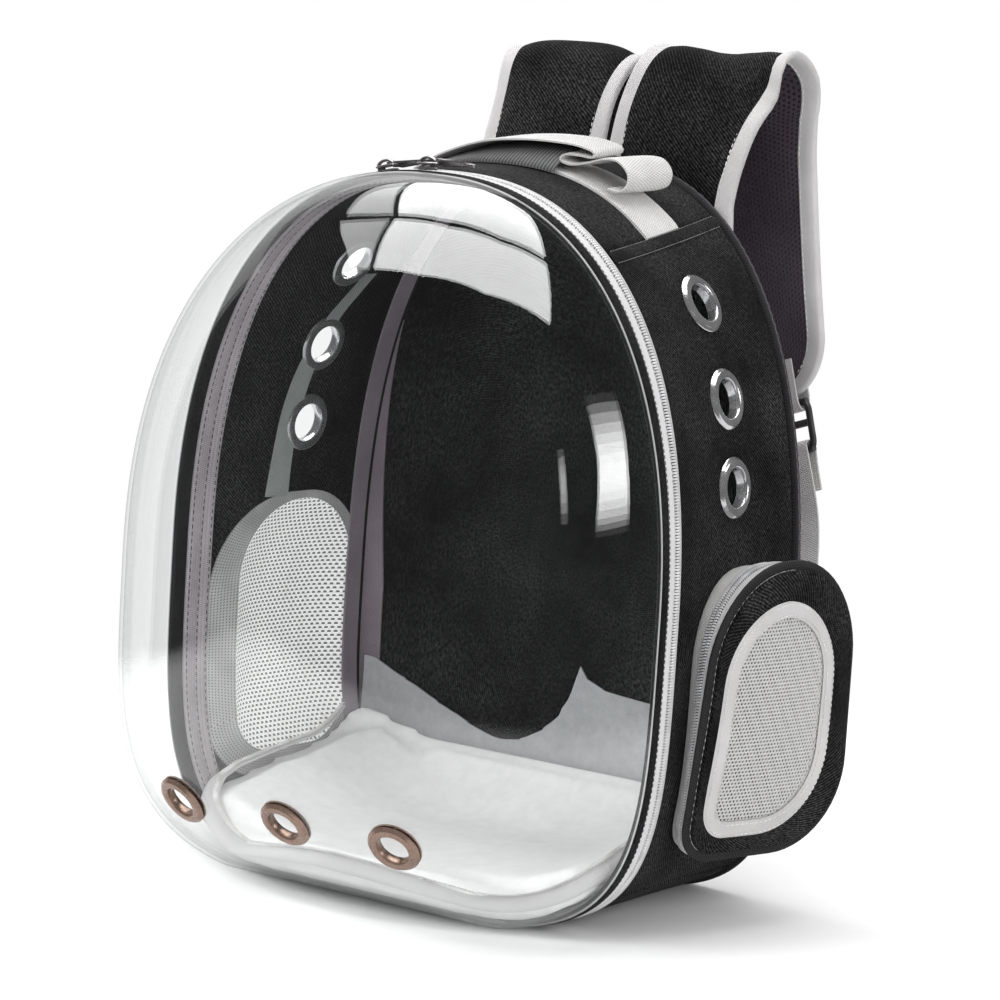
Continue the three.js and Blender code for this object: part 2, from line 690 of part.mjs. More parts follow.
// The strap at a length from its root, on the right side or the left
function strapStation(length, side) {
  const part = clamp(length / strapLength, 0, 1);
  const turns = turnCurve.getPoint(strapCurve.getUtoTmapping(part));
  const turn = radians(turns.x + side * turns.y);
  const mirror = vec(side, 1, 1);
  const point = strapCurve.getPointAt(part).multiply(mirror);
  const tangent = strapCurve.getTangentAt(part).multiply(mirror);
  const level = vec(Math.cos(turn), Math.sin(turn), 0);
  const across = level.addScaledVector(tangent, -level.dot(tangent)).normalize();
  return { point, tangent, across, out: across.clone().cross(tangent) };
}
const strapEndCentre = strapLength - strapEndWidth / 2;
const strapHalfAt = (part) => lerp(strapWidth, strapEndWidth, clamp(2 * part - 1, 0, 1)) / 2;
const padThicknessAt = (offset) => lerp(strapThickness, strapEdge, offset ** 2);

function strapPad(side) {
  const rim = strapBindingWidth + seatGap;
  const straight = strapParts.map((part) => (
    { ...strapStation(strapEndCentre * part, side), half: strapHalfAt(part) - rim }
  ));
  const half = strapEndWidth / 2 - rim;
  const round = share(strapTurns, (part) => Math.PI * part).slice(1, strapTurns / 2).map((turn) => (
    { ...strapStation(strapEndCentre + half * Math.sin(turn), side), half: half * Math.cos(turn) }
  ));
  return ribbon([...straight, ...round], padThicknessAt, 2);
}

// Binding: down one edge, round the end and up the other
function strapBinding(side) {
  const width = { half: strapBindingWidth / 2 };
  const edge = (sign, part) => {
    const { point, across, out } = strapStation(strapEndCentre * part, side);
    const outward = across.clone().multiplyScalar(sign);
    const reach = strapHalfAt(part) - strapBindingWidth / 2;
    return { ...width, point: point.addScaledVector(outward, reach), across: outward, out };
  };
  const half = (strapEndWidth - strapBindingWidth) / 2;
  const turned = (turn) => {
    const { point, tangent, across, out } = strapStation(strapEndCentre + half * Math.sin(turn), side);
    const outward = across.clone().multiplyScalar(Math.cos(turn)).addScaledVector(tangent, Math.sin(turn));
    return { ...width, point: point.addScaledVector(across, half * Math.cos(turn)), across: outward.normalize(), out };
  };
  const down = strapParts.map((part) => edge(1, part));
  const round = share(strapTurns, (part) => turned(Math.PI * part)).slice(1, -1);
  const up = strapParts.map((part) => edge(-1, part)).reverse();
  return ribbon([...down, ...round, ...up], evenThickness(strapEdge), 1);
}

// Adjuster: a plastic plate with two slots, hung from the strap's end by a loop of webbing
function adjusterPlate() {
  const corner = 4;
  const [w, h] = [adjusterWidth / 2, adjusterHeight / 2];
  const plate = new THREE.Shape([
    [-w + corner, -h], [w - corner, -h], [w, -h + corner], [w, h - corner],
    [w - corner, h], [-w + corner, h], [-w, h - corner], [-w, -h + corner],
  ].map(([x, z]) => new THREE.Vector2(x, z)));
  const slotHalf = w - adjusterBar;
  [[adjusterBar / 2, h - adjusterBar], [-h + adjusterBar, -adjusterBar / 2]].forEach(([low, high]) => {
    plate.holes.push(new THREE.Path([
      [-slotHalf, low], [-slotHalf, high], [slotHalf, high], [slotHalf, low],
    ].map(([x, z]) => new THREE.Vector2(x, z))));
  });
  const solid = new THREE.ExtrudeGeometry(plate, { depth: adjusterThickness, bevelEnabled: false });
  solid.translate(0, 0, -adjusterThickness / 2);
  solid.rotateX(Math.PI / 2);
  return solid;
}

// Strap end frame: across the strap, down along it, and out of its face
function endFrame(side) {
  const { point, across, out } = strapStation(strapLength, side);
  const down = out.clone().cross(across).normalize();
  return { point, across, down, out };
}
const plateDrop = adjusterHeight / 2 + 2;
const tabOut = strapThickness / 2 + seatGap + lowerWebThickness / 2;
const slotTop = adjusterHeight / 2 - adjusterBar;
const tabTurn = plateDrop - slotTop + 2 * gap + lowerWebThickness / 2;
const webOut = adjusterThickness / 2 + gap + lowerWebThickness / 2;
const webTurn = plateDrop + slotTop - 2 * gap - lowerWebThickness / 2;
const anchorY = backY + seatGap + lowerWebThickness / 2;

function placedAt(geometry, { point, across, down, out }, drop) {
  const turn = new THREE.Matrix4().makeBasis(across, out, across.clone().cross(out));
  const copy = geometry.clone().applyMatrix4(turn);
  const centre = point.clone().addScaledVector(down, drop);
  copy.translate(centre.x, centre.y, centre.z);
  return copy;
}

// Webbing along points given as [out of the strap's face, down from its end], then along a tail
// that turns square to the back panel
function hungWebbing(frame, path, tail) {
  const half = lowerWebWidth / 2;
  const hung = path.map(([out, down]) => ({
    point: frame.point.clone().addScaledVector(frame.out, out).addScaledVector(frame.down, down),
    across: frame.across,
    half,
  }));
  const run = tail.map((point, i) => (
    { point, across: frame.across.clone().lerp(vec(1, 0, 0), (i + 1) / tail.length).normalize(), half }
  ));
  return ribbon([...hung, ...run], evenThickness(lowerWebThickness), 1);
}

const plate = adjusterPlate();
[['right', 1], ['left', -1]].forEach(([name, side]) => {
  const frame = endFrame(side);
  addPiece(`strap_pad_${name}`, strapPad(side), materials.airMesh);
  addPiece(`strap_binding_${name}`, strapBinding(side), materials.trim);
  addPiece(`adjuster_${name}`, placedAt(plate, frame, plateDrop), materials.plastic);
  addPiece(`strap_tab_${name}`, hungWebbing(frame, [
    [-tabOut, -tabLength], [-tabOut, 0], [-tabOut / 2, tabTurn], [tabOut / 2, tabTurn],
    [tabOut, 0], [tabOut, -tabLength],
  ], []), materials.trim);
  const root = frame.point.clone().addScaledVector(frame.down, plateDrop + adjusterHeight);
  const along = (part, back) => vec(
    lerp(root.x, side * anchorOut, part) + side * 14 * Math.sin(Math.PI * part),
    lerp(root.y, anchorY, back),
    lerp(root.z, anchorHeight, part),
  );
  addPiece(`lower_webbing_${name}`, hungWebbing(frame, [
    [webOut, webTurn + adjusterBar + lowerWebTail], [webOut, webTurn + 1], [webOut / 2, webTurn],
    [-webOut / 2, webTurn], [-webOut, webTurn + 1], [-webOut, webTurn + adjusterBar + 2],
  ], [
    along(0.12, 0.1), along(0.3, 0.34), along(0.5, 0.62), along(0.68, 0.85), along(0.84, 0.98),
    along(0.92, 1), along(1, 1),
  ]), materials.trim);
});

// Height of the inside of the floor at x, y, for a wall of the given depth
function floorHeight(x, y, depth) {
  const deep = clamp((frontY - y) / (shellDepth - depth), 0, 1);
  const shrink = Math.sqrt(1 - deep ** 2);
  const size = outlineAt(Math.max(y, frontY));
  const across = clamp(Math.abs(x) / shrink / (size.half - depth - sideSag * size.bow), 0, 1);
  const low = (1 - across ** bottomPower) ** (1 / bottomPower);
  const rim = Math.max(size.widest - low * (size.widest + flattenedBelow - depth), depth);
  return y < frontY ? shellFocusHeight + (rim - shellFocusHeight) * shrink : rim;
}

// Floor pad: thick in the middle, thin at its rim, with its nose inside the shell. Its rear edge
// stands up against the back panel in two waves: height is in shares of the lip's height.
const lipWaves = [
  { across: -1, height: 1 }, { across: -0.83, height: 0.95 }, { across: -0.67, height: 0.82 },
  { across: -0.5, height: 0.7 }, { across: -0.33, height: 0.62 }, { across: -0.17, height: 0.68 },
  { across: 0, height: 0.95 }, { across: 0.17, height: 1.12 }, { across: 0.33, height: 1.03 },
  { across: 0.5, height: 1.0 }, { across: 0.67, height: 0.99 }, { across: 0.83, height: 0.98 },
  { across: 1, height: 0.98 },
];
const floorPadRows = 5;
const padRear = padFront - floorPadClearance;
const floorPadGrid = (top) => lipWaves.map(({ across, height }) => {
  const onFloor = share(floorPadRows, (b) => {
    const front = frontY - floorPadNose * (1 - across ** 2) + 2;
    const y = lerp(front, padRear - (top ? floorPadEdge : 0), b);
    const x = across * (outlineAt(Math.max(y, frontY)).half - floorPadInset);
    const crown = (1 - across ** 4) * (1 - lerp(-1, 1, b) ** 4);
    const lift = gap + floorPadLift * Math.max(Math.abs(across) ** 3, clamp((frontY - y) / floorPadNose, 0, 1));
    return vec(x, y, floorHeight(x, y, ringWall + lift) + (top ? lerp(floorPadEdge, floorPadMiddle, crown) : 0));
  });
  return [...onFloor, onFloor[floorPadRows].clone().setZ(floorPadLip * height)];
});
addPiece('floor_pad', sheetSolid(floorPadGrid(true), floorPadGrid(false), false), materials.plush);

// Seam tape up both inner corners of the back, on the facets of the side panels
const sideAngle = (part) => (y) => lerp(-floorAngle, seamAngle(y), part);
addPair('inner_seam_tape', bodyPatch(
  sideAngle(1 / sideColumns), sideAngle(1 - 1 / sideColumns), sideColumns - 2,
  wallBack - seamTapeWidth, wallBack, 1, -fabricWall - seatGap, -fabricWall - seatGap - seamTapeThickness,
), materials.tape);

// Zip sliders on the coil, each on one flat of the ring, with their pulls lying along the ring
function ringFlat(facet, grow, y) {
  const from = bodyPoint(y, ringAngles[facet], grow);
  const to = bodyPoint(y, ringAngles[facet + 1], grow);
  const along = from.clone().sub(to).normalize();
  return { point: from.lerp(to, 0.5), along, out: vec(-along.z, 0, along.x) };
}

function plateOnFlat({ point, along, out }, outline, hole, from, thickness) {
  const shape = new THREE.Shape(outline.map(([a, b]) => new THREE.Vector2(a, b)));
  if (hole.length) shape.holes.push(new THREE.Path(hole.map(([a, b]) => new THREE.Vector2(a, b))));
  const solid = new THREE.ExtrudeGeometry(shape, { depth: thickness, bevelEnabled: false });
  solid.translate(0, 0, from);
  solid.applyMatrix4(new THREE.Matrix4().makeBasis(along, out.clone().cross(along), out));
  solid.translate(point.x, point.y, point.z);
  return solid;
}
const sliderOutline = [
  [-sliderLength / 2, -sliderWidth / 4], [sliderNose - sliderLength / 2, -sliderWidth / 2],
  [sliderLength / 2, -sliderWidth / 2], [sliderLength / 2, sliderWidth / 2],
  [sliderNose - sliderLength / 2, sliderWidth / 2], [-sliderLength / 2, sliderWidth / 4],
];
const pullOutline = [
  [0, -pullWidth / 2], [pullLength - pullWidth / 2, -pullWidth / 2], [pullLength, -pullWidth / 4],
  [pullLength, pullWidth / 4], [pullLength - pullWidth / 2, pullWidth / 2], [0, pullWidth / 2],
];
const pullHole = [
  [pullSlot, -pullSlot / 2], [pullSlot, pullSlot / 2], [2 * pullSlot, pullSlot / 2], [2 * pullSlot, -pullSlot / 2],
];
// A pull lies behind its slider, clear of the fabric from its front edge to its rear edge
const pullFront = coilMiddleY + sliderWidth / 2 + seatGap;
sliderFacets.forEach((facet, i) => {
  const flat = ringFlat(facet, coilProud, coilMiddleY);
  const seat = { ...flat, along: i ? flat.along.clone().negate() : flat.along };
  addPiece(`zip_slider_${i + 1}`, plateOnFlat(seat, sliderOutline, [], gap, sliderHeight), materials.steel);
  const rise = [pullFront, pullFront + pullWidth].map((y) => (
    ringFlat(facet, coilProud, y).point.sub(flat.point).dot(flat.out)
  ));
  const point = flat.point.clone().setY(pullFront + pullWidth / 2).addScaledVector(flat.out, Math.max(0, ...rise));
  addPiece(`zip_pull_${i + 1}`, plateOnFlat({ ...flat, point }, pullOutline, pullHole, seatGap, pullThickness), materials.steel);
});

export default carrier;
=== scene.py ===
import math

import bmesh
import bpy
import numpy as np
from mathutils import Matrix, Vector


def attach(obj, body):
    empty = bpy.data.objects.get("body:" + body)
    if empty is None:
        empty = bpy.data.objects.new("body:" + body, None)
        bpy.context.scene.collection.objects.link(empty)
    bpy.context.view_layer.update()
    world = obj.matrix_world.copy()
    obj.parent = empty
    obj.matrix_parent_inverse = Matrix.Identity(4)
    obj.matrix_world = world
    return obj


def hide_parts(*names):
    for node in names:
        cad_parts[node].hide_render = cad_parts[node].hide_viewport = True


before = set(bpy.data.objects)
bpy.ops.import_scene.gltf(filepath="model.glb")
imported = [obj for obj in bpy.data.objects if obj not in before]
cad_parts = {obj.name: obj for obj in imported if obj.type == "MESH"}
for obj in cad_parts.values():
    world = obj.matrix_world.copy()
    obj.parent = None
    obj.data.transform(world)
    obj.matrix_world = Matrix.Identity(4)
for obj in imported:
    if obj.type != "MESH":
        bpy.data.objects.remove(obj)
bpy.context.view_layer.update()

MM = 0.001
PI = math.pi

# Sizes in millimetres, the same as the solids'
RING_HALF, RING_TOP, RING_WIDEST, RING_POWER = 168.0, 401.0, 174.0, 2.31
BACK_HALF, BACK_TOP, BACK_WIDEST, BACK_POWER = 153.0, 409.0, 145.0, 2.43
BOTTOM_POWER, FLATTENED = 3.95, 4.0
DEPTH = 166.0
FRONT, BACK = -DEPTH / 2, DEPTH / 2
SIDE_SAG, TOP_SAG = 6.0, 3.0
WALL, RING_WALL = 2.4, 3.0
GAP, SEAT = 0.3, 0.5
SHELL_DEPTH, SHELL_FOCUS, SHELL_WALL = 135.0, 189.0, 2.0
SEAM_FRONT, SEAM_BACK, FLOOR_SEAM = 54.5, 62.0, 48.0
EYELET_Y, EYELET_DROPS = 9.0, (66.5, 116.5, 164.0)
EYELET_R, EYELET_BORE = 17.0, 11.0
SHELL_EYELET_X, SHELL_EYELET_Z = 72.5, 54.0
SHELL_EYELET_R, SHELL_EYELET_BORE = 15.2, 9.2
WEBBING_WIDTH, WEBBING_THICK, WEBBING_Y = 38.0, 1.8, 9.0
POCKET_SEAT = 0.8


def lerp(a, b, t):
    return a + (b - a) * t


def unit(v):
    return v / np.maximum(np.linalg.norm(v, axis=-1, keepdims=True), 1e-9)


# Body surface

def outline_at(y):
    t = (y - FRONT) / DEPTH
    bow = np.sin(PI * np.clip(t, 0, 1))
    return (lerp(RING_HALF, BACK_HALF, t), lerp(RING_TOP, BACK_TOP, t), lerp(RING_WIDEST, BACK_WIDEST, t),
            lerp(RING_POWER, BACK_POWER, t), bow)


def body_point(y, angle, grow=0.0):
    y, angle = np.broadcast_arrays(np.asarray(y, float), np.asarray(angle, float))
    half, top, widest, power, bow = outline_at(y)
    c, s = np.cos(angle), np.sin(angle)
    p = 2 / np.where(s > 0, power, BOTTOM_POWER)
    across = np.sign(c) * np.abs(c) ** p
    up = np.sign(s) * np.abs(s) ** p
    x = across * (half + grow - SIDE_SAG * bow * across ** 4)
    reach = np.where(s > 0, top - widest + grow - TOP_SAG * bow * up ** 4, widest + FLATTENED + grow)
    z = np.maximum(np.maximum(widest + up * reach, -grow), 0)
    return np.stack([x, y, z], -1)


def side_reach(y, z):
    y, z = np.broadcast_arrays(np.asarray(y, float), np.asarray(z, float))
    half, top, widest, power, bow = outline_at(y)
    up = np.clip(np.abs((z - widest) / (top - widest)), 0, 1)
    high = (1 - up ** power) ** (1 / power)
    low = np.clip((widest - z) / (widest + FLATTENED), 0, 1)
    low = (1 - low ** BOTTOM_POWER) ** (1 / BOTTOM_POWER)
    part = np.where(z > widest, high, low)
    return part * (half - SIDE_SAG * bow * part ** 4)


def side_normal(y, z):
    d = 2.0
    ay = np.array([side_reach(y + d, z) - side_reach(y - d, z), 2 * d, 0])
    az = np.array([side_reach(y, z + d) - side_reach(y, z - d), 0, 2 * d])
    return unit(np.cross(ay, az))


def shell_point(angle, turn, grow=0.0):
    rim = body_point(FRONT, angle, grow)
    k = np.cos(turn)
    y = FRONT - (SHELL_DEPTH + grow) * np.sin(turn)
    z = SHELL_FOCUS + (rim[..., 2] - SHELL_FOCUS) * k
    return np.stack([rim[..., 0] * k, y + 0 * rim[..., 0], z], -1)


def seam_angle(y):
    return np.radians(lerp(SEAM_FRONT, SEAM_BACK, (y - FRONT) / DEPTH))


def ring_angles(count):
    return np.arange(count) * 2 * PI / count


# Node trees

class Look:
    """A material's node tree with short names for the nodes that it uses."""

    def __init__(self, name):
        self.mat = bpy.data.materials.new(name)
        self.mat.use_nodes = True
        self.tree = self.mat.node_tree
        self.tree.nodes.clear()
        self.out = self.tree.nodes.new("ShaderNodeOutputMaterial")

    def node(self, kind, **settings):
        made = self.tree.nodes.new(kind)
        for key, value in settings.items():
            setattr(made, key, value)
        return made

    def put(self, socket, value):
        if isinstance(value, bpy.types.NodeSocket):
            self.tree.links.new(value, socket)
        elif isinstance(value, (tuple, list)) and len(value) == 3 and socket.type == "RGBA":
            socket.default_value = (*value, 1)
        else:
            socket.default_value = value

    def coords(self, kind="UV"):
        return self.node("ShaderNodeTexCoord").outputs[kind]

    def split(self, vector):
        made = self.node("ShaderNodeSeparateXYZ")
        self.put(made.inputs[0], vector)
        return made.outputs

    def math(self, operation, a, b=0.0, c=0.0, clamp=False):
        made = self.node("ShaderNodeMath", operation=operation, use_clamp=clamp)
        for socket, value in zip(made.inputs, (a, b, c)):
            self.put(socket, value)
        return made.outputs[0]

    def noise(self, vector, scale, detail=3.0, rough=0.55):
        made = self.node("ShaderNodeTexNoise")
        self.put(made.inputs["Vector"], vector)
        self.put(made.inputs["Scale"], scale)
        self.put(made.inputs["Detail"], detail)
        self.put(made.inputs["Roughness"], rough)
        return made.outputs["Fac"]

    def spread(self, value, low, high, to_low=0.0, to_high=1.0):
        made = self.node("ShaderNodeMapRange")
        for socket, v in zip(made.inputs, (value, low, high, to_low, to_high)):
            self.put(socket, v)
        return made.outputs[0]

    def mix(self, factor, a, b):
        made = self.node("ShaderNodeMix", data_type="RGBA")
        self.put(made.inputs[0], factor)
        self.put(made.inputs[6], a)
        self.put(made.inputs[7], b)
        return made.outputs[2]

    def wave(self, value, pitch):
        """A wave of that pitch along a coordinate, from 0 to 1."""
        turned = self.math("MULTIPLY", value, 2 * PI / pitch)
        return self.math("MULTIPLY_ADD", self.math("SINE", turned), 0.5, 0.5)

    def bump(self, height, distance, strength=1.0, normal=None):
        made = self.node("ShaderNodeBump")
        self.put(made.inputs["Strength"], strength)
        self.put(made.inputs["Distance"], distance)
        self.put(made.inputs["Height"], height)
        if normal is not None:
            self.put(made.inputs["Normal"], normal)
        return made.outputs[0]

    def surface(self, **values):
        names = {"color": "Base Color", "rough": "Roughness", "metal": "Metallic", "normal": "Normal",
                 "specular": "Specular IOR Level", "sheen": "Sheen Weight",
                 "sheen_rough": "Sheen Roughness", "emission": "Emission Color",
                 "emission_strength": "Emission Strength"}
        made = self.node("ShaderNodeBsdfPrincipled")
        for key, value in values.items():
            self.put(made.inputs[names[key]], value)
        self.put(self.out.inputs[0], made.outputs[0])
        return self.mat


def twill(name, dark, light, pitch=2.2, even=0.25, sheen=0.015):
    """Woven black polyester: thin bright diagonal ribs over a cloudy melange."""
    g = Look(name)
    place = g.coords()
    u, v, _ = g.split(place)
    wobble = g.math("MULTIPLY", g.noise(place, 0.1, 2), 2.4)
    rib = g.wave(g.math("ADD", g.math("ADD", u, v), wobble), pitch)
    thread = g.wave(g.math("SUBTRACT", u, v), pitch * 0.6)
    weave = g.math("MULTIPLY", g.math("POWER", rib, 3.0), g.math("MULTIPLY_ADD", thread, 0.7, 0.3))
    cloud = g.spread(g.noise(g.coords("Object"), 13, 5, 0.62), 0.34, 0.68)
    speck = g.spread(g.noise(place, 0.5, 3, 0.7), 0.4, 0.7)
    tone = g.math("MULTIPLY_ADD", cloud, 0.75, 0.25)
    rows = g.math("MULTIPLY", g.math("MULTIPLY", weave, tone), g.math("MULTIPLY_ADD", speck, 0.75, 0.25))
    melange = g.math("MULTIPLY", g.math("MULTIPLY", speck, cloud), even)
    shade = g.math("ADD", rows, melange, clamp=True)
    return g.surface(color=g.mix(shade, dark, light), rough=g.spread(weave, 0, 1, 0.95, 0.8), sheen=sheen,
                     sheen_rough=0.4, specular=0.05, normal=g.bump(weave, 0.0004, 0.8))


def webbing(name, dark, light, pitch=1.35, stripe=3.2, along=True, sheen=0.2):
    """Ribbed polyester webbing: ribs across the length, faint rows of thread along it."""
    g = Look(name)
    u, v, _ = g.split(g.coords())
    if not along:
        u, v = v, u
    phase = g.math("MULTIPLY", g.math("GREATER_THAN", g.wave(v, stripe), 0.5), pitch / 2)
    rib = g.wave(g.math("ADD", u, phase), pitch)
    rows = g.wave(v, stripe / 2)
    height = g.math("MULTIPLY_ADD", rib, 0.75, g.math("MULTIPLY", rows, 0.25))
    soil = g.spread(g.noise(g.coords("Object"), 26, 4, 0.6), 0.35, 0.75, 0.0, 0.3)
    shade = g.math("SUBTRACT", g.math("MULTIPLY_ADD", height, 0.75, 0.25), soil, clamp=True)
    return g.surface(color=g.mix(shade, dark, light), rough=g.spread(height, 0, 1, 0.9, 0.7), sheen=sheen,
                     sheen_rough=0.5, specular=0.2, normal=g.bump(height, 0.0004, 0.9))


def metal(name, base, tint, rough=0.16, marks=0.16, share=1.0):
    """Plated metal with faint uneven polish; a lower share gives a painted or browned finish."""
    g = Look(name)
    place = g.coords("Object")
    wear = g.noise(place, 160, 5, 0.65)
    return g.surface(color=g.mix(g.spread(g.noise(place, 55, 4), 0.3, 0.7), base, tint), metal=share,
                     rough=g.spread(wear, 0.3, 0.75, rough, rough + marks),
                     normal=g.bump(g.noise(place, 700, 2), 0.00002, 0.35))


def moulded(name, dark, light, rough=0.42):
    g = Look(name)
    place = g.coords("Object")
    grain = g.noise(place, 900, 3, 0.6)
    return g.surface(color=g.mix(g.spread(g.noise(place, 90, 4), 0.3, 0.7), dark, light),
                     rough=g.spread(grain, 0.3, 0.7, rough, rough + 0.14),
                     normal=g.bump(grain, 0.00004, 0.4))


def clear_sheet(name):
    """Clear moulded plastic: a faint mirror face on, strong at a glance, with light passing through."""
    g = Look(name)
    facing = g.node("ShaderNodeLayerWeight").outputs["Facing"]
    glance = g.math("MULTIPLY_ADD", g.math("POWER", facing, 4.0), 0.6, 0.045)
    through = g.node("ShaderNodeBsdfTransparent")
    tone = g.spread(g.math("POWER", facing, 5.0), 0, 1, 0.992, 0.86)
    tint = g.node("ShaderNodeCombineColor")
    for socket, share in zip(tint.inputs, (0.995, 1.0, 1.0)):
        g.put(socket, g.math("MULTIPLY", tone, share))
    g.put(through.inputs[0], tint.outputs[0])
    gloss = g.node("ShaderNodeBsdfGlossy")
    shine = g.spread(g.math("POWER", facing, 10.0), 0, 1, 1.0, 0.4)
    silver = g.node("ShaderNodeCombineColor")
    for socket in silver.inputs:
        g.put(socket, shine)
    g.put(gloss.inputs["Color"], silver.outputs[0])
    g.put(gloss.inputs["Roughness"], g.spread(g.noise(g.coords("Object"), 9, 3), 0.3, 0.7, 0.006, 0.02))
    both = g.node("ShaderNodeMixShader")
    g.put(both.inputs[0], glance)
    g.put(both.inputs[1], through.outputs[0])
    g.put(both.inputs[2], gloss.outputs[0])
    g.put(g.out.inputs[0], both.outputs[0])
    return g.mat


def plush_cloth(name, dark, light):
    """Short-pile cloth: fine fuzz with faint tufts."""
    g = Look(name)
    place = g.coords("Object")
    fuzz = g.noise(place, 1100, 3, 0.7)
    tuft = g.noise(place, 150, 4, 0.6)
    dent = g.noise(place, 20, 3, 0.5)
    low = g.math("MULTIPLY_ADD", tuft, 0.35, g.math("MULTIPLY", dent, 1.0))
    height = g.math("MULTIPLY_ADD", fuzz, 0.3, low)
    shade = g.spread(g.math("ADD", fuzz, g.math("ADD", tuft, dent)), 1.1, 1.8)
    return g.surface(color=g.mix(shade, dark, light), rough=0.95, sheen=0.25, sheen_rough=0.6, specular=0.1,
                     normal=g.bump(height, 0.0007, 0.45))


def net_cloth(name):
    """Knitted mesh that lets light through."""
    g = Look(name)
    place = g.coords("Object")
    knit = g.noise(place, 1500, 2, 0.6)
    shade = g.spread(knit, 0.3, 0.7)
    tone = g.mix(shade, (0.72, 0.71, 0.7), (0.95, 0.945, 0.94))
    g.surface(color=tone, rough=0.7, specular=0.2, normal=g.bump(knit, 0.0002, 0.5))
    front = g.out.inputs[0].links[0].from_socket
    behind = g.node("ShaderNodeBsdfTranslucent")
    g.put(behind.inputs["Color"], tone)
    both = g.node("ShaderNodeMixShader")
    g.put(both.inputs[0], 0.45)
    g.put(both.inputs[1], front)
    g.put(both.inputs[2], behind.outputs[0])
    g.put(g.out.inputs[0], both.outputs[0])
    return g.mat


def net_lining(name, hole, knit_dark, knit_light, pitch, low, high, aspect=1.0, glow=0.0):
    """Mesh cloth on a backing: rows of small holes, coloured dark as painted shade seen through them; the glow
    is painted light, an emission for the light that comes through from behind.
    """
    g = Look(name)
    u, v, _ = g.split(g.coords())
    row = g.math("MULTIPLY", g.math("GREATER_THAN", g.wave(v, 2 * pitch), 0.5), pitch * aspect / 2)
    holes = g.math("MULTIPLY", g.wave(g.math("ADD", u, row), pitch * aspect), g.wave(v, pitch))
    open_part = g.spread(holes, low, high)
    cloud = g.spread(g.noise(g.coords("Object"), 30, 3), 0.3, 0.7)
    # The holes take the hole colour: painted shade seen through the holes.
    tone = g.mix(open_part, g.mix(cloud, knit_dark, knit_light), hole)
    # A glow above zero adds an emission in the cloth's tone: painted light for the light that comes through
    # from behind.
    extra = {"emission": tone, "emission_strength": glow} if glow else {}
    return g.surface(color=tone, rough=0.85, specular=0.2, sheen=0.1,
                     normal=g.bump(open_part, 0.0004, -0.6), **extra)


def air_mesh(name, dark, light, pitch=3.0):
    """Spacer mesh: rows of small holes in a knitted face, darkened with their depth as painted shade."""
    g = Look(name)
    u, v, _ = g.split(g.coords())
    row = g.math("MULTIPLY", g.math("GREATER_THAN", g.wave(v, 2 * pitch * 0.87), 0.5), pitch / 2)
    holes = g.math("MULTIPLY", g.wave(g.math("ADD", u, row), pitch), g.wave(v, pitch * 0.87))
    knit = g.noise(g.coords(), 1.3, 3, 0.7)
    height = g.math("MULTIPLY_ADD", knit, 0.35, g.spread(holes, 0.2, 0.7, 1.0, 0.0))
    cloud = g.spread(g.noise(g.coords("Object"), 22, 4), 0.35, 0.7)
    # Colour follows the height, so the holes get painted shade.
    tone = g.math("MULTIPLY", height, g.math("MULTIPLY_ADD", cloud, 0.5, 0.5), clamp=True)
    return g.surface(color=g.mix(tone, dark, light), rough=0.88, sheen=0.2, sheen_rough=0.5, specular=0.2,
                     normal=g.bump(height, 0.0007, 0.8))


BLACK = twill("black_twill", (0.0015, 0.0015, 0.0017), (0.15, 0.15, 0.153))
BLACK_TRIM = webbing("black_grosgrain", (0.002, 0.002, 0.0025), (0.03, 0.03, 0.032), 1.8, 1.6, sheen=0.02)
RIBBED = webbing("black_ribbed_tape", (0.001, 0.001, 0.0012), (0.16, 0.16, 0.162), 2.2, 60.0, sheen=0.01)
BAND = twill("black_band", (0.0015, 0.0015, 0.002), (0.22, 0.22, 0.225), 1.7, 0.05)
LINING = twill("black_lining", (0.002, 0.002, 0.0023), (0.085, 0.088, 0.088), 1.8, 0.7)
WHITE = webbing("white_webbing", (0.36, 0.35, 0.345), (0.78, 0.775, 0.77))
WHITE_TRIM = webbing("white_grosgrain", (0.42, 0.41, 0.41), (0.78, 0.77, 0.77), 1.0, 1.4, sheen=0.1)
GREY_TAPE = webbing("grey_tape", (0.6, 0.59, 0.6), (0.78, 0.77, 0.78), 1.0, 4.4)
SEAM_TAPE = webbing("seam_tape", (0.13, 0.1, 0.125), (0.42, 0.36, 0.41), 1.1, 1.6)
BACKING_TAPE = webbing("backing_tape", (0.16, 0.18, 0.175), (0.44, 0.47, 0.455), 1.2, 2.2)
RING_LINING = webbing("ring_lining", (0.22, 0.2, 0.21), (0.62, 0.57, 0.6), 1.1, 4.2)
THREAD = moulded("white_thread", (0.5, 0.49, 0.48), (0.85, 0.84, 0.83), 0.6)
GREY_THREAD = moulded("grey_thread", (0.05, 0.05, 0.052), (0.16, 0.16, 0.165), 0.6)
DARK_THREAD = moulded("black_thread", (0.01, 0.01, 0.011), (0.05, 0.05, 0.052), 0.6)
TEETH = moulded("zip_nylon", (0.55, 0.55, 0.56), (0.82, 0.82, 0.83), 0.3)
TEETH_BED = webbing("zip_bed", (0.01, 0.01, 0.011), (0.06, 0.06, 0.062), 1.0, 1.2)
STEEL = metal("polished_steel", (0.4, 0.4, 0.41), (0.6, 0.6, 0.61), 0.12, share=0.8)
GUNMETAL = metal("dark_slider", (0.1, 0.095, 0.095), (0.24, 0.23, 0.23), 0.2, share=0.7)
BRONZE = metal("bronze", (0.18, 0.118, 0.09), (0.28, 0.19, 0.15), 0.2, share=0.55)
CLEAR = clear_sheet("clear_plastic")
PLUSH = plush_cloth("white_plush", (0.8, 0.795, 0.79), (0.95, 0.945, 0.94))
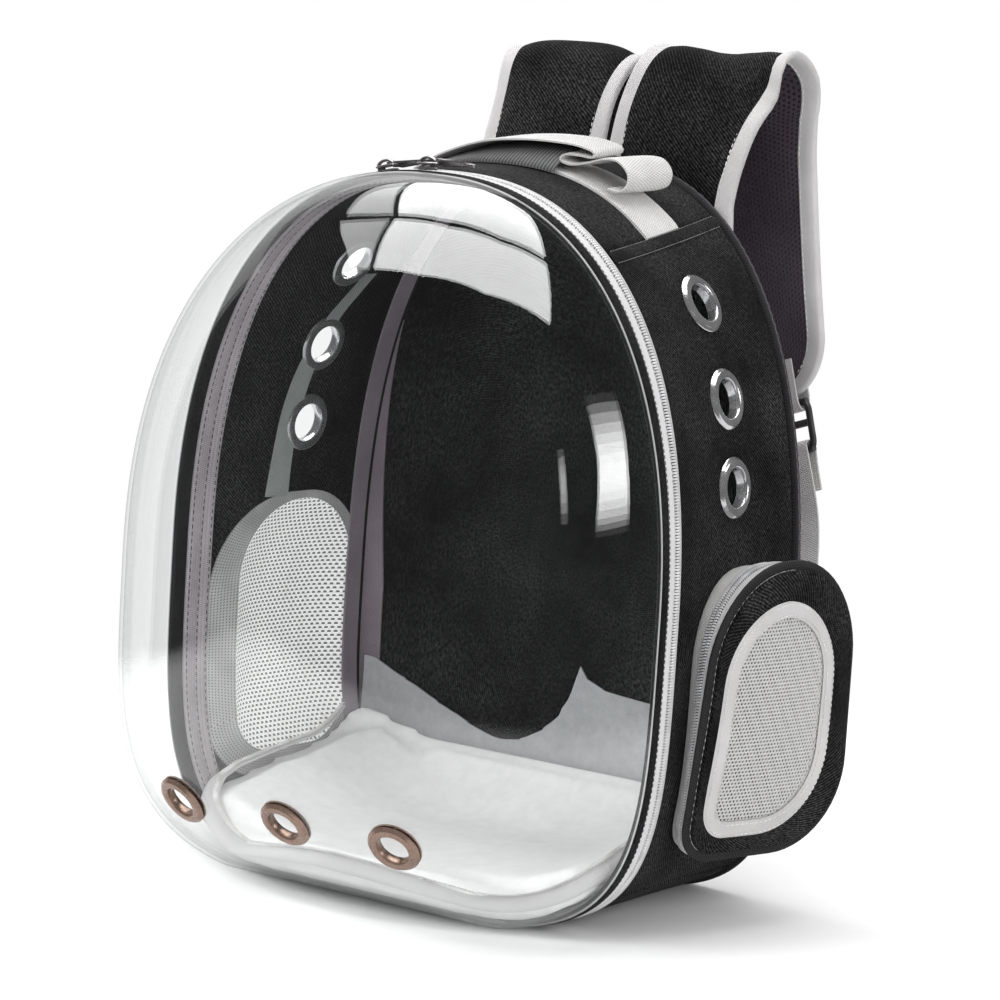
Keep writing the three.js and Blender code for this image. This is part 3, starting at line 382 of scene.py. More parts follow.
# A greyed copy of the white plush: painted shade, since the flap behind the pad is the white plush in shadow.
PLUSH_PAINTED_SHADE = plush_cloth("plush_painted_shade", (0.36, 0.37, 0.38), (0.5, 0.51, 0.52))
MESH = net_cloth("white_mesh")
# The hole colours of both mesh linings are painted shade seen through the holes.
MESH_LINING = net_lining("mesh_lining", (0.13, 0.13, 0.13), (0.36, 0.36, 0.355), (0.58, 0.575, 0.57),
                         1.7, 0.42, 0.62)
# The bright mesh's glow of 0.3 is painted light: an emission for the light that comes through the pockets'
# mesh.
BRIGHT_MESH = net_lining("bright_mesh", (0.15, 0.15, 0.15), (0.93, 0.925, 0.92), (1, 0.995, 0.99),
                         2.4, 0.08, 0.5, aspect=1.5, glow=0.3)
# Dark colour for a sheet that is painted shade: it stands for the dark inside of a pocket, seen through the
# net's holes.
NET_PAINTED_SHADE = moulded("net_painted_shade", (0.008, 0.008, 0.0085), (0.03, 0.03, 0.031), 0.9)
STRAP_MESH = air_mesh("strap_air_mesh", (0.004, 0.0025, 0.004), (0.055, 0.038, 0.055))
PLASTIC = moulded("black_plastic", (0.008, 0.008, 0.009), (0.03, 0.03, 0.032))


# Mesh building

def grid_faces(rows, columns, closed, flip=False, offset=0):
    count = rows if closed else rows - 1
    i, j = np.meshgrid(np.arange(count), np.arange(columns - 1), indexing="ij")
    a = i * columns + j
    b = ((i + 1) % rows) * columns + j
    quads = np.stack([a, b, b + 1, a + 1], -1).reshape(-1, 4) + offset
    return quads[:, ::-1] if flip else quads


def grid_uv(points, closed):
    """Lengths along the rows and the columns of a grid, in millimetres."""
    wrapped = np.concatenate([points, points[:1]], 0) if closed else points
    u = np.concatenate([[0], np.cumsum(np.linalg.norm(np.diff(wrapped, axis=0), axis=-1).mean(1))])
    v = np.concatenate([[0], np.cumsum(np.linalg.norm(np.diff(points, axis=1), axis=-1).mean(0))])
    return u, v


def new_object(name, vertices, faces, material, uvs=None, smooth=True, sharp=40.0):
    mesh = bpy.data.meshes.new(name)
    vertices = np.array(vertices, float)
    vertices[:, 2] = np.maximum(vertices[:, 2], 0)
    mesh.from_pydata((vertices * MM).tolist(), [], [list(map(int, f)) for f in faces])
    if uvs is not None:
        layer = mesh.uv_layers.new(name="UVMap")
        layer.data.foreach_set("uv", np.asarray(uvs, np.float32).ravel())
    for m in material if isinstance(material, (list, tuple)) else [material]:
        mesh.materials.append(m)
    bm = bmesh.new()
    bm.from_mesh(mesh)
    bmesh.ops.remove_doubles(bm, verts=bm.verts, dist=1e-6)
    bmesh.ops.recalc_face_normals(bm, faces=bm.faces)
    bm.to_mesh(mesh)
    bm.free()
    mesh.polygons.foreach_set("use_smooth", [smooth] * len(mesh.polygons))
    if smooth:
        mesh.set_sharp_from_angle(angle=math.radians(sharp))
    made = bpy.data.objects.new(name, mesh)
    bpy.context.scene.collection.objects.link(made)
    return made


def sheet(name, outer, inner, material, closed=False, sharp=40.0):
    """A sheet with thickness between two grids of points, with its lengths as UVs."""
    outer, inner = np.asarray(outer, float), np.asarray(inner, float)
    rows, columns = outer.shape[:2]
    u, v = grid_uv(outer, closed)
    faces, uvs = [], []
    for offset, flip in ((0, False), (rows * columns, True)):
        for quad in grid_faces(rows, columns, closed, flip, offset):
            cells = [divmod(int(q) - offset, columns) for q in quad]
            top_row = closed and max(c[0] for c in cells) == rows - 1 and min(c[0] for c in cells) == 0
            faces.append(quad)
            uvs += [(u[rows] if top_row and r == 0 else u[r], v[c]) for r, c in cells]
    n = rows * columns
    spans = rows if closed else rows - 1
    for i in range(spans):
        k = (i + 1) % rows
        for c, flip in ((0, True), (columns - 1, False)):
            quad = [i * columns + c, k * columns + c, n + k * columns + c, n + i * columns + c]
            uv = [(u[i], v[c]), (u[i + 1], v[c]), (u[i + 1], v[c] + 2), (u[i], v[c] + 2)]
            faces.append(quad[::-1] if flip else quad)
            uvs += uv[::-1] if flip else uv
    if not closed:
        for j in range(columns - 1):
            for r, flip in ((0, False), (rows - 1, True)):
                quad = [r * columns + j, r * columns + j + 1, n + r * columns + j + 1, n + r * columns + j]
                uv = [(u[r], v[j]), (u[r], v[j + 1]), (u[r] + 2, v[j + 1]), (u[r] + 2, v[j])]
                faces.append(quad[::-1] if flip else quad)
                uvs += uv[::-1] if flip else uv
    points = np.concatenate([outer.reshape(-1, 3), inner.reshape(-1, 3)])
    return new_object(name, points, faces, material, uvs, sharp=sharp)


def swept(name, sections, material, closed=False, sharp=40.0):
    """A closed section at each station, capped at the ends unless the run is closed."""
    sections = np.asarray(sections, float)
    rows, columns = sections.shape[:2]
    looped = np.concatenate([sections, sections[:, :1]], 1)
    u, v = grid_uv(looped, closed)
    faces, uvs = [], []
    for i in range(rows if closed else rows - 1):
        k = (i + 1) % rows
        for j in range(columns):
            m = (j + 1) % columns
            faces.append([i * columns + j, k * columns + j, k * columns + m, i * columns + m])
            uvs += [(u[i], v[j]), (u[i + 1], v[j]), (u[i + 1], v[j + 1]), (u[i], v[j + 1])]
    if not closed:
        for r in (0, rows - 1):
            faces.append([r * columns + j for j in range(columns)])
            uvs += [(u[r], v[j]) for j in range(columns)]
    return new_object(name, sections.reshape(-1, 3), faces, material, uvs, sharp=sharp)


def plane_uv(piece):
    """Lay the cloth's pattern out flat in y and z, in millimetres."""
    layer = piece.data.uv_layers.active.data
    for loop in piece.data.loops:
        at = piece.data.vertices[loop.vertex_index].co
        layer[loop.index].uv = (at.y / MM, at.z / MM)


def place(piece, slot, *nodes):
    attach(piece, "root")
    if nodes:
        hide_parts(*nodes)
    return piece


def apply_modifiers(piece):
    bpy.context.view_layer.update()
    graph = bpy.context.evaluated_depsgraph_get()
    made = bpy.data.meshes.new_from_object(piece.evaluated_get(graph))
    piece.modifiers.clear()
    piece.data = made
    return piece


def cut(piece, tools):
    for tool in tools:
        m = piece.modifiers.new("cut", "BOOLEAN")
        m.operation, m.solver, m.object = "DIFFERENCE", "EXACT", tool
    apply_modifiers(piece)
    for tool in tools:
        bpy.data.objects.remove(tool)
    return piece


def basis(normal):
    normal = unit(np.asarray(normal, float))
    side = np.cross([0, 0, 1.0], normal)
    side = unit(side if np.linalg.norm(side) > 1e-3 else np.array([1.0, 0, 0]))
    return side, np.cross(normal, side), normal


def turned(name, profile, centre, normal, material, sides=56, sharp=35.0):
    """A closed profile of (radius, height) turned about a normal."""
    side, up, out = basis(normal)
    angles = np.arange(sides) * 2 * PI / sides
    spokes = [math.cos(a) * side + math.sin(a) * up for a in angles]
    rows = [[centre + r * spoke + h * out for r, h in profile] for spoke in spokes]
    return swept(name, rows, material, closed=True, sharp=sharp)


def rounded(points, radius, steps=4):
    """Corners of a closed polygon rounded by that radius."""
    points = [np.array(p, float) for p in points]
    made = []
    for k, p in enumerate(points):
        a, b = points[k - 1] - p, points[(k + 1) % len(points)] - p
        la, lb = np.linalg.norm(a), np.linalg.norm(b)
        r = min(radius, 0.45 * la, 0.45 * lb)
        s, e = p + a / la * r, p + b / lb * r
        for t in np.linspace(0, 1, steps + 1):
            made.append((1 - t) ** 2 * s + 2 * t * (1 - t) * p + t * t * e)
    return made


def stitches(name, points, normals, material, pitch=3.6, length=2.4, radius=0.33, lift=0.12):
    """A row of short raised stitches along a line of points."""
    points, normals = np.asarray(points, float), unit(np.asarray(normals, float))
    steps = np.linalg.norm(np.diff(points, axis=0), axis=1)
    run = np.concatenate([[0], np.cumsum(steps)])
    vertices, faces = [], []
    for start in np.arange(pitch / 2, run[-1] - length, pitch):
        ends = [np.array([np.interp(s, run, points[:, k]) for k in range(3)])
                for s in (start, start + length)]
        n = unit(np.array([np.interp(start, run, normals[:, k]) for k in range(3)]))
        along = unit(ends[1] - ends[0])
        side = np.cross(n, along)
        base = len(vertices)
        for t, r in ((0, 0.35), (0.2, 1.0), (0.8, 1.0), (1, 0.35)):
            c = lerp(ends[0], ends[1], t) + n * lift
            for a in range(5):
                w = PI * a / 4
                vertices.append(c + radius * r * (math.cos(w) * side + math.sin(w) * n))
        for q in range(3):
            for a in range(4):
                i = base + 5 * q + a
                faces.append([i, i + 1, i + 6, i + 5])
        faces.append([base + a for a in range(5)][::-1])
        faces.append([base + 15 + a for a in range(5)])
        for q in range(3):
            faces.append([base + 5 * q, base + 5 * q + 5, base + 5 * q + 9, base + 5 * q + 4])
    return new_object(name, vertices, faces, material)


def zip_teeth(name, points, normals, sides, material, pitch, width, height, closed=True, fill=0.3):
    """Rounded coil loops side by side, each lying across its line."""
    points, normals, sides = (np.asarray(a, float) for a in (points, normals, sides))
    if closed:
        points, normals, sides = (np.concatenate([a, a[:1]]) for a in (points, normals, sides))
    run = np.concatenate([[0], np.cumsum(np.linalg.norm(np.diff(points, axis=0), axis=1))])
    count = int(run[-1] / pitch)
    at = (np.arange(count) + 0.5) * run[-1] / count
    pick = lambda a, s: np.array([np.interp(s, run, a[:, k]) for k in range(3)])
    vertices, faces = [], []
    half = fill * run[-1] / count
    profile = ((-0.5, 0.1, 0.6), (-0.36, 0.8, 1), (0, 1, 1), (0.36, 0.8, 1), (0.5, 0.1, 0.6))
    for s in at:
        p, n, c = pick(points, s), unit(pick(normals, s)), unit(pick(sides, s))
        along = np.cross(c, n)
        base = len(vertices)
        for across, rise, thin in profile:
            for da in (-half * thin, half * thin):
                vertices.append(p + c * width * across + n * height * rise + along * da)
                vertices.append(p + c * width * across + n * (height * rise - 0.9) + along * da)
        for q in range(4):
            i = base + 4 * q
            faces += [[i, i + 2, i + 6, i + 4], [i + 1, i, i + 4, i + 5], [i + 2, i + 3, i + 7, i + 6]]
        faces += [[base, base + 1, base + 3, base + 2], [base + 16, base + 18, base + 19, base + 17]]
        faces += [[i + 1, i + 5, i + 7, i + 3] for i in range(base, base + 16, 4)]
    return new_object(name, vertices, faces, material, sharp=60)


# Shapes shared by the fabric pieces

def ripple(points, size, seed=0.0):
    """A smooth uneven field from 0 to 1 over points in millimetres."""
    x, y, z = (points[..., k] / size for k in range(3))
    wave = np.sin(1.7 * x + 0.9 * z + seed) * np.sin(1.3 * z - 0.8 * y + 2 * seed)
    wave = wave + 0.6 * np.sin(2.9 * y + 1.9 * z + 3 * seed) * np.sin(2.3 * x - 1.1 * z + seed)
    return 0.5 + 0.5 * wave / 1.6


def arc(points):
    return np.concatenate([[0], np.cumsum(np.linalg.norm(np.diff(points, axis=0), axis=-1))])


def outline_angles(count, y=FRONT):
    """Angles that step evenly along the outline, from the middle of the bottom."""
    fine = np.linspace(-PI / 2, 3 * PI / 2, 12001)
    run = arc(body_point(y, fine))
    return np.interp(np.arange(count) * run[-1] / count, run, fine)


def spaced(total, step, ends=(0.7, 1.5, 2.5, 4.0, 6.0)):
    """Lengths from 0 to the total, close together near both ends."""
    inner = np.linspace(ends[-1], total - ends[-1], max(int((total - 2 * ends[-1]) / step), 2) + 1)
    return np.concatenate([[0], ends[:-1], inner, [total - e for e in reversed(ends[:-1])], [total]])


def top_puff(y):
    """How far the top panel stands up at a depth, from 0 at its seams to 1 between them."""
    return 1 - np.clip(np.abs(np.asarray(y, float) - 7.5) / 66, 0, 1) ** 3


def patch(name, start, end, y0, y1, step, material, swell=0.9, roll=1.3, outer_at=0.0, inner_at=-WALL,
          size=46, lift=0.0):
    """Part of the body wall between two angles that may change with depth; the lift rounds it up."""
    middle = (y0 + y1) / 2
    fine = np.linspace(0, 1, 6001)
    run = arc(body_point(middle, lerp(start(middle), end(middle), fine)))
    lengths = spaced(run[-1], step)
    shares = np.interp(lengths, run, fine)[:, None]
    ys = y0 + spaced(y1 - y0, step, (0.6, 1.4, 2.6))[None]
    angles = lerp(start(ys), end(ys), shares)
    from_edge = np.minimum(lengths, run[-1] - lengths)[:, None]
    from_side = np.minimum(ys - y0, y1 - ys)
    puff = swell * ripple(body_point(ys, angles), size) * (1 - np.exp(-(from_edge / 12) ** 2))
    puff = puff * (1 - np.exp(-(from_side / 9) ** 2))
    dip = roll * (np.exp(-(from_edge / 1.5) ** 2) + 0.6 * np.exp(-(from_side / 1.0) ** 2))
    raised = lift * top_puff(ys) * (1 - np.exp(-(from_edge / 60) ** 2))
    outer = body_point(ys, angles, outer_at + puff - dip + raised)
    return sheet(name, outer, body_point(ys, angles, inner_at), material)


def ring(name, y0, y1, grow, crown, material, inner=-RING_WALL, count=300, columns=7):
    """A band round the whole outline with a crowned face."""
    angles = outline_angles(count)[:, None]
    part = np.linspace(0, 1, columns)[None]
    ys = lerp(y0, y1, part)
    rise = grow + crown * (1 - (2 * part - 1) ** 4)
    return sheet(name, body_point(ys, angles, rise), body_point(ys, angles, inner), material, closed=True)


def ring_line(y, grow, count=900):
    """Points, outward directions and depth directions along the outline at a depth."""
    angles = outline_angles(count)
    points = body_point(y, angles, grow)
    wide = body_point(y, angles, grow + 4)
    along = unit(np.roll(points, -1, 0) - np.roll(points, 1, 0))
    depth = np.tile([0.0, 1.0, 0.0], (count, 1))
    out = unit(np.cross(along, depth))
    out = np.where((out * (wide - points)).sum(-1, keepdims=True) < 0, -out, out)
    return points, out, depth


def even_ribbon(points, across, half, thickness, columns, out=None, round_edge=0.5):
    """Flat webbing or tape: a station at each point, its width along across."""
    points, across = np.asarray(points, float), unit(np.asarray(across, float))
    along = np.gradient(points, axis=0)
    normal = unit(np.cross(across, along)) if out is None else unit(np.asarray(out, float))
    part = np.linspace(-1, 1, columns)
    thick = np.asarray(thickness(part) if callable(thickness) else thickness * (1 - round_edge * part ** 8))
    half = np.broadcast_to(np.asarray(half, float), (len(points),))
    mid = points[:, None] + across[:, None] * (part[None, :, None] * half[:, None, None])
    lift = normal[:, None] * (thick * np.ones(columns))[None, :, None] / 2
    return mid + lift, mid - lift


def curve_through(points, count):
    """A smooth curve through points, evenly sampled (centripetal Catmull-Rom)."""
    p = np.asarray(points, float)
    p = np.concatenate([[2 * p[0] - p[1]], p, [2 * p[-1] - p[-2]]])
    made = []
    for i in range(1, len(p) - 2):
        d = [max(np.linalg.norm(p[i + k] - p[i + k - 1]) ** 0.5, 1e-4) for k in range(3)]
        t1 = (p[i] - p[i - 1]) / d[0] - (p[i + 1] - p[i - 1]) / (d[0] + d[1]) + (p[i + 1] - p[i]) / d[1]
        t2 = (p[i + 1] - p[i]) / d[1] - (p[i + 2] - p[i]) / (d[1] + d[2]) + (p[i + 2] - p[i + 1]) / d[2]
        t1, t2 = t1 * d[1], t2 * d[1]
        w = np.linspace(0, 1, 200, endpoint=False)[:, None]
        a, b = p[i], p[i + 1]
        square, cube = -3 * a + 3 * b - 2 * t1 - t2, 2 * a - 2 * b + t1 + t2
        made.append(a + t1 * w + square * w ** 2 + cube * w ** 3)
    fine = np.concatenate([*made, p[-2:-1]])
    run = arc(fine)
    index = np.arange(len(fine)) / 200
    at = np.linspace(0, run[-1], count)
    sampled = np.stack([np.interp(at, run, fine[:, k]) for k in range(p.shape[1])], -1)
    return sampled, np.interp(at, run, index)


# Clear shell and its eyelets

shell_angles = outline_angles(220)[:, None]
shell_turns = PI / 2 * np.linspace(0, 1, 71)[None]
shell = sheet("shell_dome", shell_point(shell_angles, shell_turns),
              shell_point(shell_angles, shell_turns, -SHELL_WALL), CLEAR, closed=True, sharp=60)


def shell_place(x, z):
    """The point of the shell in front of x, z, and the way it faces."""
    fine = np.linspace(-PI, PI, 40001)
    rim = body_point(FRONT, fine)
    off = rim[:, 0] * (z - SHELL_FOCUS) - (rim[:, 2] - SHELL_FOCUS) * x
    ahead = rim[:, 0] * x + (rim[:, 2] - SHELL_FOCUS) * (z - SHELL_FOCUS) > 0
    best = np.argmin(np.where(ahead, np.abs(off), 1e9))
    k = math.hypot(x, z - SHELL_FOCUS) / math.hypot(rim[best, 0], rim[best, 2] - SHELL_FOCUS)
    turn = math.acos(k)
    p = shell_point(fine[best], turn)
    da = shell_point(fine[best] + 0.004, turn) - shell_point(fine[best] - 0.004, turn)
    dt = shell_point(fine[best], turn + 0.01) - shell_point(fine[best], turn - 0.01)
    n = unit(np.cross(da, dt))
    return p, n if n[1] < 0 else -n


def eyelet_profile(flange, bore, top, low):
    tube = bore + 1.4
    return [(bore, low - 0.6), (bore, top + 1.0), (bore + 0.3, top + 1.7), (bore + 1.0, top + 2.2),
            (bore + 2.1, top + 2.3), ((tube + flange) / 2 + 0.6, top + 1.9), (flange - 1.1, top + 1.1),
            (flange - 0.3, top + 0.5), (flange, top - 0.1), (flange - 0.4, top - 0.5), (tube, top - 0.2),
            (tube, low + 0.2), (flange - 0.6, low + 0.5), (flange, low + 0.1), (flange - 0.4, low - 0.4),
            (flange - 1.6, low - 0.9), (bore + 1.6, low - 1.3), (bore + 0.4, low - 1.2)]


def borer(name, centre, normal, radius, length):
    side, up, out = basis(normal)
    angles = np.arange(64) * 2 * PI / 64
    loop = [centre + radius * (math.cos(a) * side + math.sin(a) * up) for a in angles]
    return swept(name, [[p - out * length for p in loop], [p + out * length for p in loop]], CLEAR)


shell_places = [shell_place(side * SHELL_EYELET_X, SHELL_EYELET_Z) for side in (-1, 0, 1)]
cut(shell, [borer("bore", c, n, SHELL_EYELET_BORE + 1.5, 12) for c, n in shell_places])
place(shell, "clear_plastic", "clear_shell")
for side, (centre, normal) in zip(("left", "middle", "right"), shell_places):
    profile = eyelet_profile(SHELL_EYELET_R, SHELL_EYELET_BORE, 0.1, -SHELL_WALL - 0.5)
    rim = turned("shell_grommet_" + side, profile, centre, normal, BRONZE, sides=64)
    place(rim, "bronze_metal", "shell_eyelet_" + side)


# Zip ring, front to back

place(ring("edge_cord", -82.8, -81.9, -0.75, 0.45, WHITE_TRIM, inner=-1.1), "steel_metal",
      "shell_edge_line")
place(ring("edge_backing", -82.6, -81.2, -1.2, 0, BLACK_TRIM, columns=4), "black_twill")
place(ring("door_band", -81.6, -72.7, -0.4, 0.9, BAND, inner=-RING_WALL), "black_twill", "door_binding")
place(ring("front_tape", -72.5, -65.0, -0.6, 0.9, GREY_TAPE), "grey_tape", "zip_tape_front")
place(ring("coil_bed", -64.8, -59.9, -0.9, 0.2, TEETH_BED), "zip_nylon", "zip_coil")
place(ring("rear_cord", -59.6, -58.1, -0.5, 1.2, WHITE_TRIM), "white_webbing", "zip_tape_rear")
for k, (y, wide) in enumerate(((-63.3, 1.7), (-61.2, 1.7))):
    points, outs, depths = ring_line(y, -0.35, 1600)
    place(zip_teeth("coil_teeth_%d" % k, points, outs, depths, TEETH, 1.6, wide, 1.2), "zip_nylon")
points, outs, depths = ring_line(-72.95, -0.1)
place(stitches("band_stitch", points, outs, DARK_THREAD, 3.2, 2.2, 0.28), "black_twill")
points, outs, depths = ring_line(-66.0, 0.1)
place(stitches("tape_stitch", points, outs, THREAD, 3.2, 2.2, 0.22), "grey_tape")

angles = outline_angles(260)[:, None]
part = np.linspace(0, 1, 12)[None]
lining = sheet("ring_lining", body_point(lerp(-74.5, -57.8, part), angles, -RING_WALL - 0.3),
               body_point(lerp(-74.5, -57.8, part), angles, -RING_WALL - 1.3 - 0.5 * np.sin(9 * part)),
               RING_LINING, closed=True)
place(lining, "grey_tape")
for y in (-73.0, -66.0, -59.5):
    points, outs, depths = ring_line(y, -RING_WALL - 1.7)
    place(stitches("lining_stitch_%d" % -y, points, -outs, DARK_THREAD, 4.2, 2.6, 0.3), "grey_tape")


# Fabric walls

WALL_FRONT, WALL_BACK, TOP_LIFT = -57.4, 72.4, 3.2
SLIT = GAP / RING_HALF
floor_angle = math.radians(FLOOR_SEAM)
gusset = patch("top_wall", lambda y: seam_angle(y) + SLIT, lambda y: PI - seam_angle(y) - SLIT,
               WALL_FRONT, WALL_BACK, 4, BLACK, lift=TOP_LIFT)
place(gusset, "black_twill", "top_gusset")
floor = patch("floor_wall", lambda y: -PI + floor_angle + SLIT + 0 * y,
              lambda y: -floor_angle - SLIT + 0 * y, WALL_FRONT, WALL_BACK, 5, BLACK, swell=0.3)
place(floor, "black_twill", "bottom_panel")


def rounded_outline(box, radii, inset, steps=14, straight=8):
    """A closed outline with round corners, as y and z; box and radii start at the front's bottom."""
    front, rear, bottom, top = box
    corners = [(front, bottom, 1, 1, radii[0], 180), (rear, bottom, -1, 1, radii[1], 270),
               (rear, top, -1, -1, radii[2], 0), (front, top, 1, -1, radii[3], 90)]
    bends = []
    for y, z, to_y, to_z, radius, start in corners:
        a = np.radians(start + 90 * np.linspace(0, 1, steps + 1))
        reach = radius - inset
        bend_y, bend_z = y + to_y * radius + reach * np.cos(a), z + to_z * radius + reach * np.sin(a)
        bends.append(np.stack([bend_y, bend_z], -1))
    made = []
    for i, bend in enumerate(bends):
        after = bends[(i + 1) % 4][0]
        between = lerp(bend[-1], after, np.linspace(0, 1, straight + 2)[1:-1, None])
        made += [bend, between]
    return np.concatenate(made)


POCKET_REACH = {"front_bottom": 13, "rear_bottom": 43, "rear_top": 43, "front_top": 30}
BASE_BOX, BASE_RADII = (-37, 65, 47, 198), (22, 42, 50, 50)
FACE_BOX, FACE_RADII = (-42, 73, 43, 205), (20, 50, 56, 54)
WINDOW_BOX, WINDOW_RADII = (-34, 51, 55, 185), (18, 46, 44, 44)
NET_MIDDLE, WINDOW_MIDDLE = (14.0, 122.0), (9.0, 120.0)
FACE_THICK, FACE_CROWN = 2.0, 5.0
POCKET_HEM = 2.0
COLLAR_BOX, COLLAR_RADII = (-58, 72, 36, 200), (30, 34, 54, 62)


def base_outline(inset):
    return rounded_outline(BASE_BOX, BASE_RADII, inset)


def face_outline(inset):
    return rounded_outline(FACE_BOX, FACE_RADII, inset)


def window_outline(inset):
    return rounded_outline(WINDOW_BOX, WINDOW_RADII, inset)


eyelet_heights = [outline_at(EYELET_Y)[1] - drop for drop in EYELET_DROPS]
eyelet_places = [(np.array([side_reach(EYELET_Y, z), EYELET_Y, z]), side_normal(EYELET_Y, z))
                 for z in eyelet_heights]
for name, side in (("right", 1), ("left", -1)):
    flip = np.array([side, 1.0, 1.0])
    if side > 0:
        wall = patch("side_wall_right", lambda y: -floor_angle + 0 * y, seam_angle,
                     WALL_FRONT, WALL_BACK, 4, BLACK)
    else:
        wall = patch("side_wall_left", lambda y: PI + floor_angle + 0 * y, lambda y: PI - seam_angle(y),
                     WALL_FRONT, WALL_BACK, 4, BLACK)
    loop = base_outline(POCKET_HEM)
    sections = [np.column_stack([np.full(len(loop), side * x), loop]) for x in (90, 230)]
    prism = swept("opening", sections, BLACK)
    tools = [prism] + [borer("bore", c * flip, n * flip, EYELET_BORE + 1.6, 12) for c, n in eyelet_places]
    cut(wall, tools)
    place(wall, "black_twill", "side_panel_" + name)
    rim, hole = rounded_outline(COLLAR_BOX, COLLAR_RADII, 0), base_outline(POCKET_HEM + 0.4)
    grid = lerp(rim[:, None], hole[:, None], np.linspace(0, 1, 14)[None, :, None])
    reach = side_reach(grid[..., 0], grid[..., 1])[..., None]
    layers = [np.concatenate([reach - WALL - d, grid], -1) * flip for d in (0.3, 0.9)]
    place(sheet("pocket_collar_" + name, *layers, MESH_LINING, closed=True), "white_mesh")
    share = np.concatenate([np.linspace(0, 0.9, 16), [0.97, 0.999]])
    middle = np.array(NET_MIDDLE)
    grid = lerp(base_outline(POCKET_HEM + 0.6)[:, None], middle, share[None, :, None])
    belly = 15.0 * (1 - (1 - share) ** 2.6)[None, :, None]
    reach = side_reach(grid[..., 0], grid[..., 1])[..., None] - WALL - 0.6 + belly
    layers = [np.concatenate([reach + d, grid], -1) * flip for d in (0, 0.6)]
    screen = sheet("pocket_screen_" + name, *layers, BRIGHT_MESH, closed=True)
    place(screen, "white_mesh")
    plane_uv(screen)
    for k, (centre, normal) in enumerate(eyelet_places):
        rim = turned("side_grommet_%d_%s" % (k + 1, name),
                     eyelet_profile(EYELET_R, EYELET_BORE, 0.5, -WALL - 0.6),
                     centre * flip, normal * flip, STEEL, sides=64)
        place(rim, "steel_metal", "side_eyelet_%d_%s" % (k + 1, name))


def seam_side(side, less):
    """An angle a little below the gusset's seam on that side."""
    return (lambda y: seam_angle(y) - less) if side > 0 else (lambda y: PI - seam_angle(y) + less)


for name, side in (("right", 1), ("left", -1)):
    place(patch("seam_welt_" + name, seam_side(side, 0.042), seam_side(side, 0.002),
                WALL_FRONT + 0.4, WALL_BACK - 0.4, 2.5,
                BLACK, swell=0.2, roll=0.5, outer_at=1.2, inner_at=-0.3, size=16), "black_twill")
    ys = np.linspace(WALL_FRONT + 2, WALL_BACK - 2, 60)
    for k, less in enumerate((0.047, 0.0)):
        seam = seam_side(side, less)(ys)
        line, wide = body_point(ys, seam, 0.5), body_point(ys, seam, 4)
        row = stitches("seam_stitch_%d_%s" % (k, name), line, wide - line, GREY_THREAD, 3.0, 2.5, 0.3)
        place(row, "black_twill")


# Back: piping, quilted panel, lining

place(ring("rear_piping", 72.7, 76.7, -0.2, 2.0, BLACK_TRIM, inner=-WALL), "black_twill", "back_piping")


def disc(y_at, share_in, count=200):
    angles = outline_angles(count, BACK)[:, None]
    rim = body_point(BACK, angles)
    centre = np.array([0, 0, 190.0])
    p = lerp(rim, centre, share_in[None, :, None])
    p[..., 1] = y_at(p[..., 0], p[..., 2], share_in[None] + 0 * angles)
    return p


def quilt(x, z, s):
    groove = np.exp(-((np.abs(x) - 44) / 4.5) ** 2) * ((z > 60) & (z < 350))
    groove = np.maximum(groove, np.exp(-((z - 205) / 4.5) ** 2) * (np.abs(x) < 118))
    groove = np.maximum(groove, np.exp(-((z - 96) / 4.5) ** 2) * (np.abs(x) < 118))
    edge = np.exp(-(s / 0.028) ** 2)
    return BACK - 3.0 * groove - 2.6 * edge


inward = np.concatenate([[0, 0.006, 0.014, 0.024, 0.036], np.linspace(0.05, 1, 70)])
back_pad = sheet("back_pad", disc(quilt, inward, 150), disc(lambda x, z, s: 78.2 + 0 * s, inward, 150),
                 STRAP_MESH, closed=True)
place(back_pad, "air_mesh", "back_panel")


def lining_face(x, z, s):
    return 77.0 - 0.8 * ripple(np.stack([x, 0 * x, z], -1), 60) * np.minimum(s / 0.1, 1)


back_lining = sheet("back_lining", disc(lambda x, z, s: 78.0 + 0 * s, inward[::2], 120),
                    disc(lining_face, inward[::2], 120), LINING, closed=True)
place(back_lining, "black_twill")

for name, side in (("right", 1), ("left", -1)):
    angle = lambda t: (lambda y: lerp(-floor_angle, seam_angle(y), t))
    turned_angle = lambda t: (lambda y: PI - lerp(-floor_angle, seam_angle(y), t))
    pick = angle if side > 0 else turned_angle
    tape = patch("seam_ribbon_" + name, pick(0.03), pick(0.97), WALL_BACK - 14, WALL_BACK - 0.3, 4, SEAM_TAPE,
                 swell=0, roll=0, outer_at=-WALL - 0.4, inner_at=-WALL - 1.6)
    place(tape, "grey_tape", "inner_seam_tape_" + name)


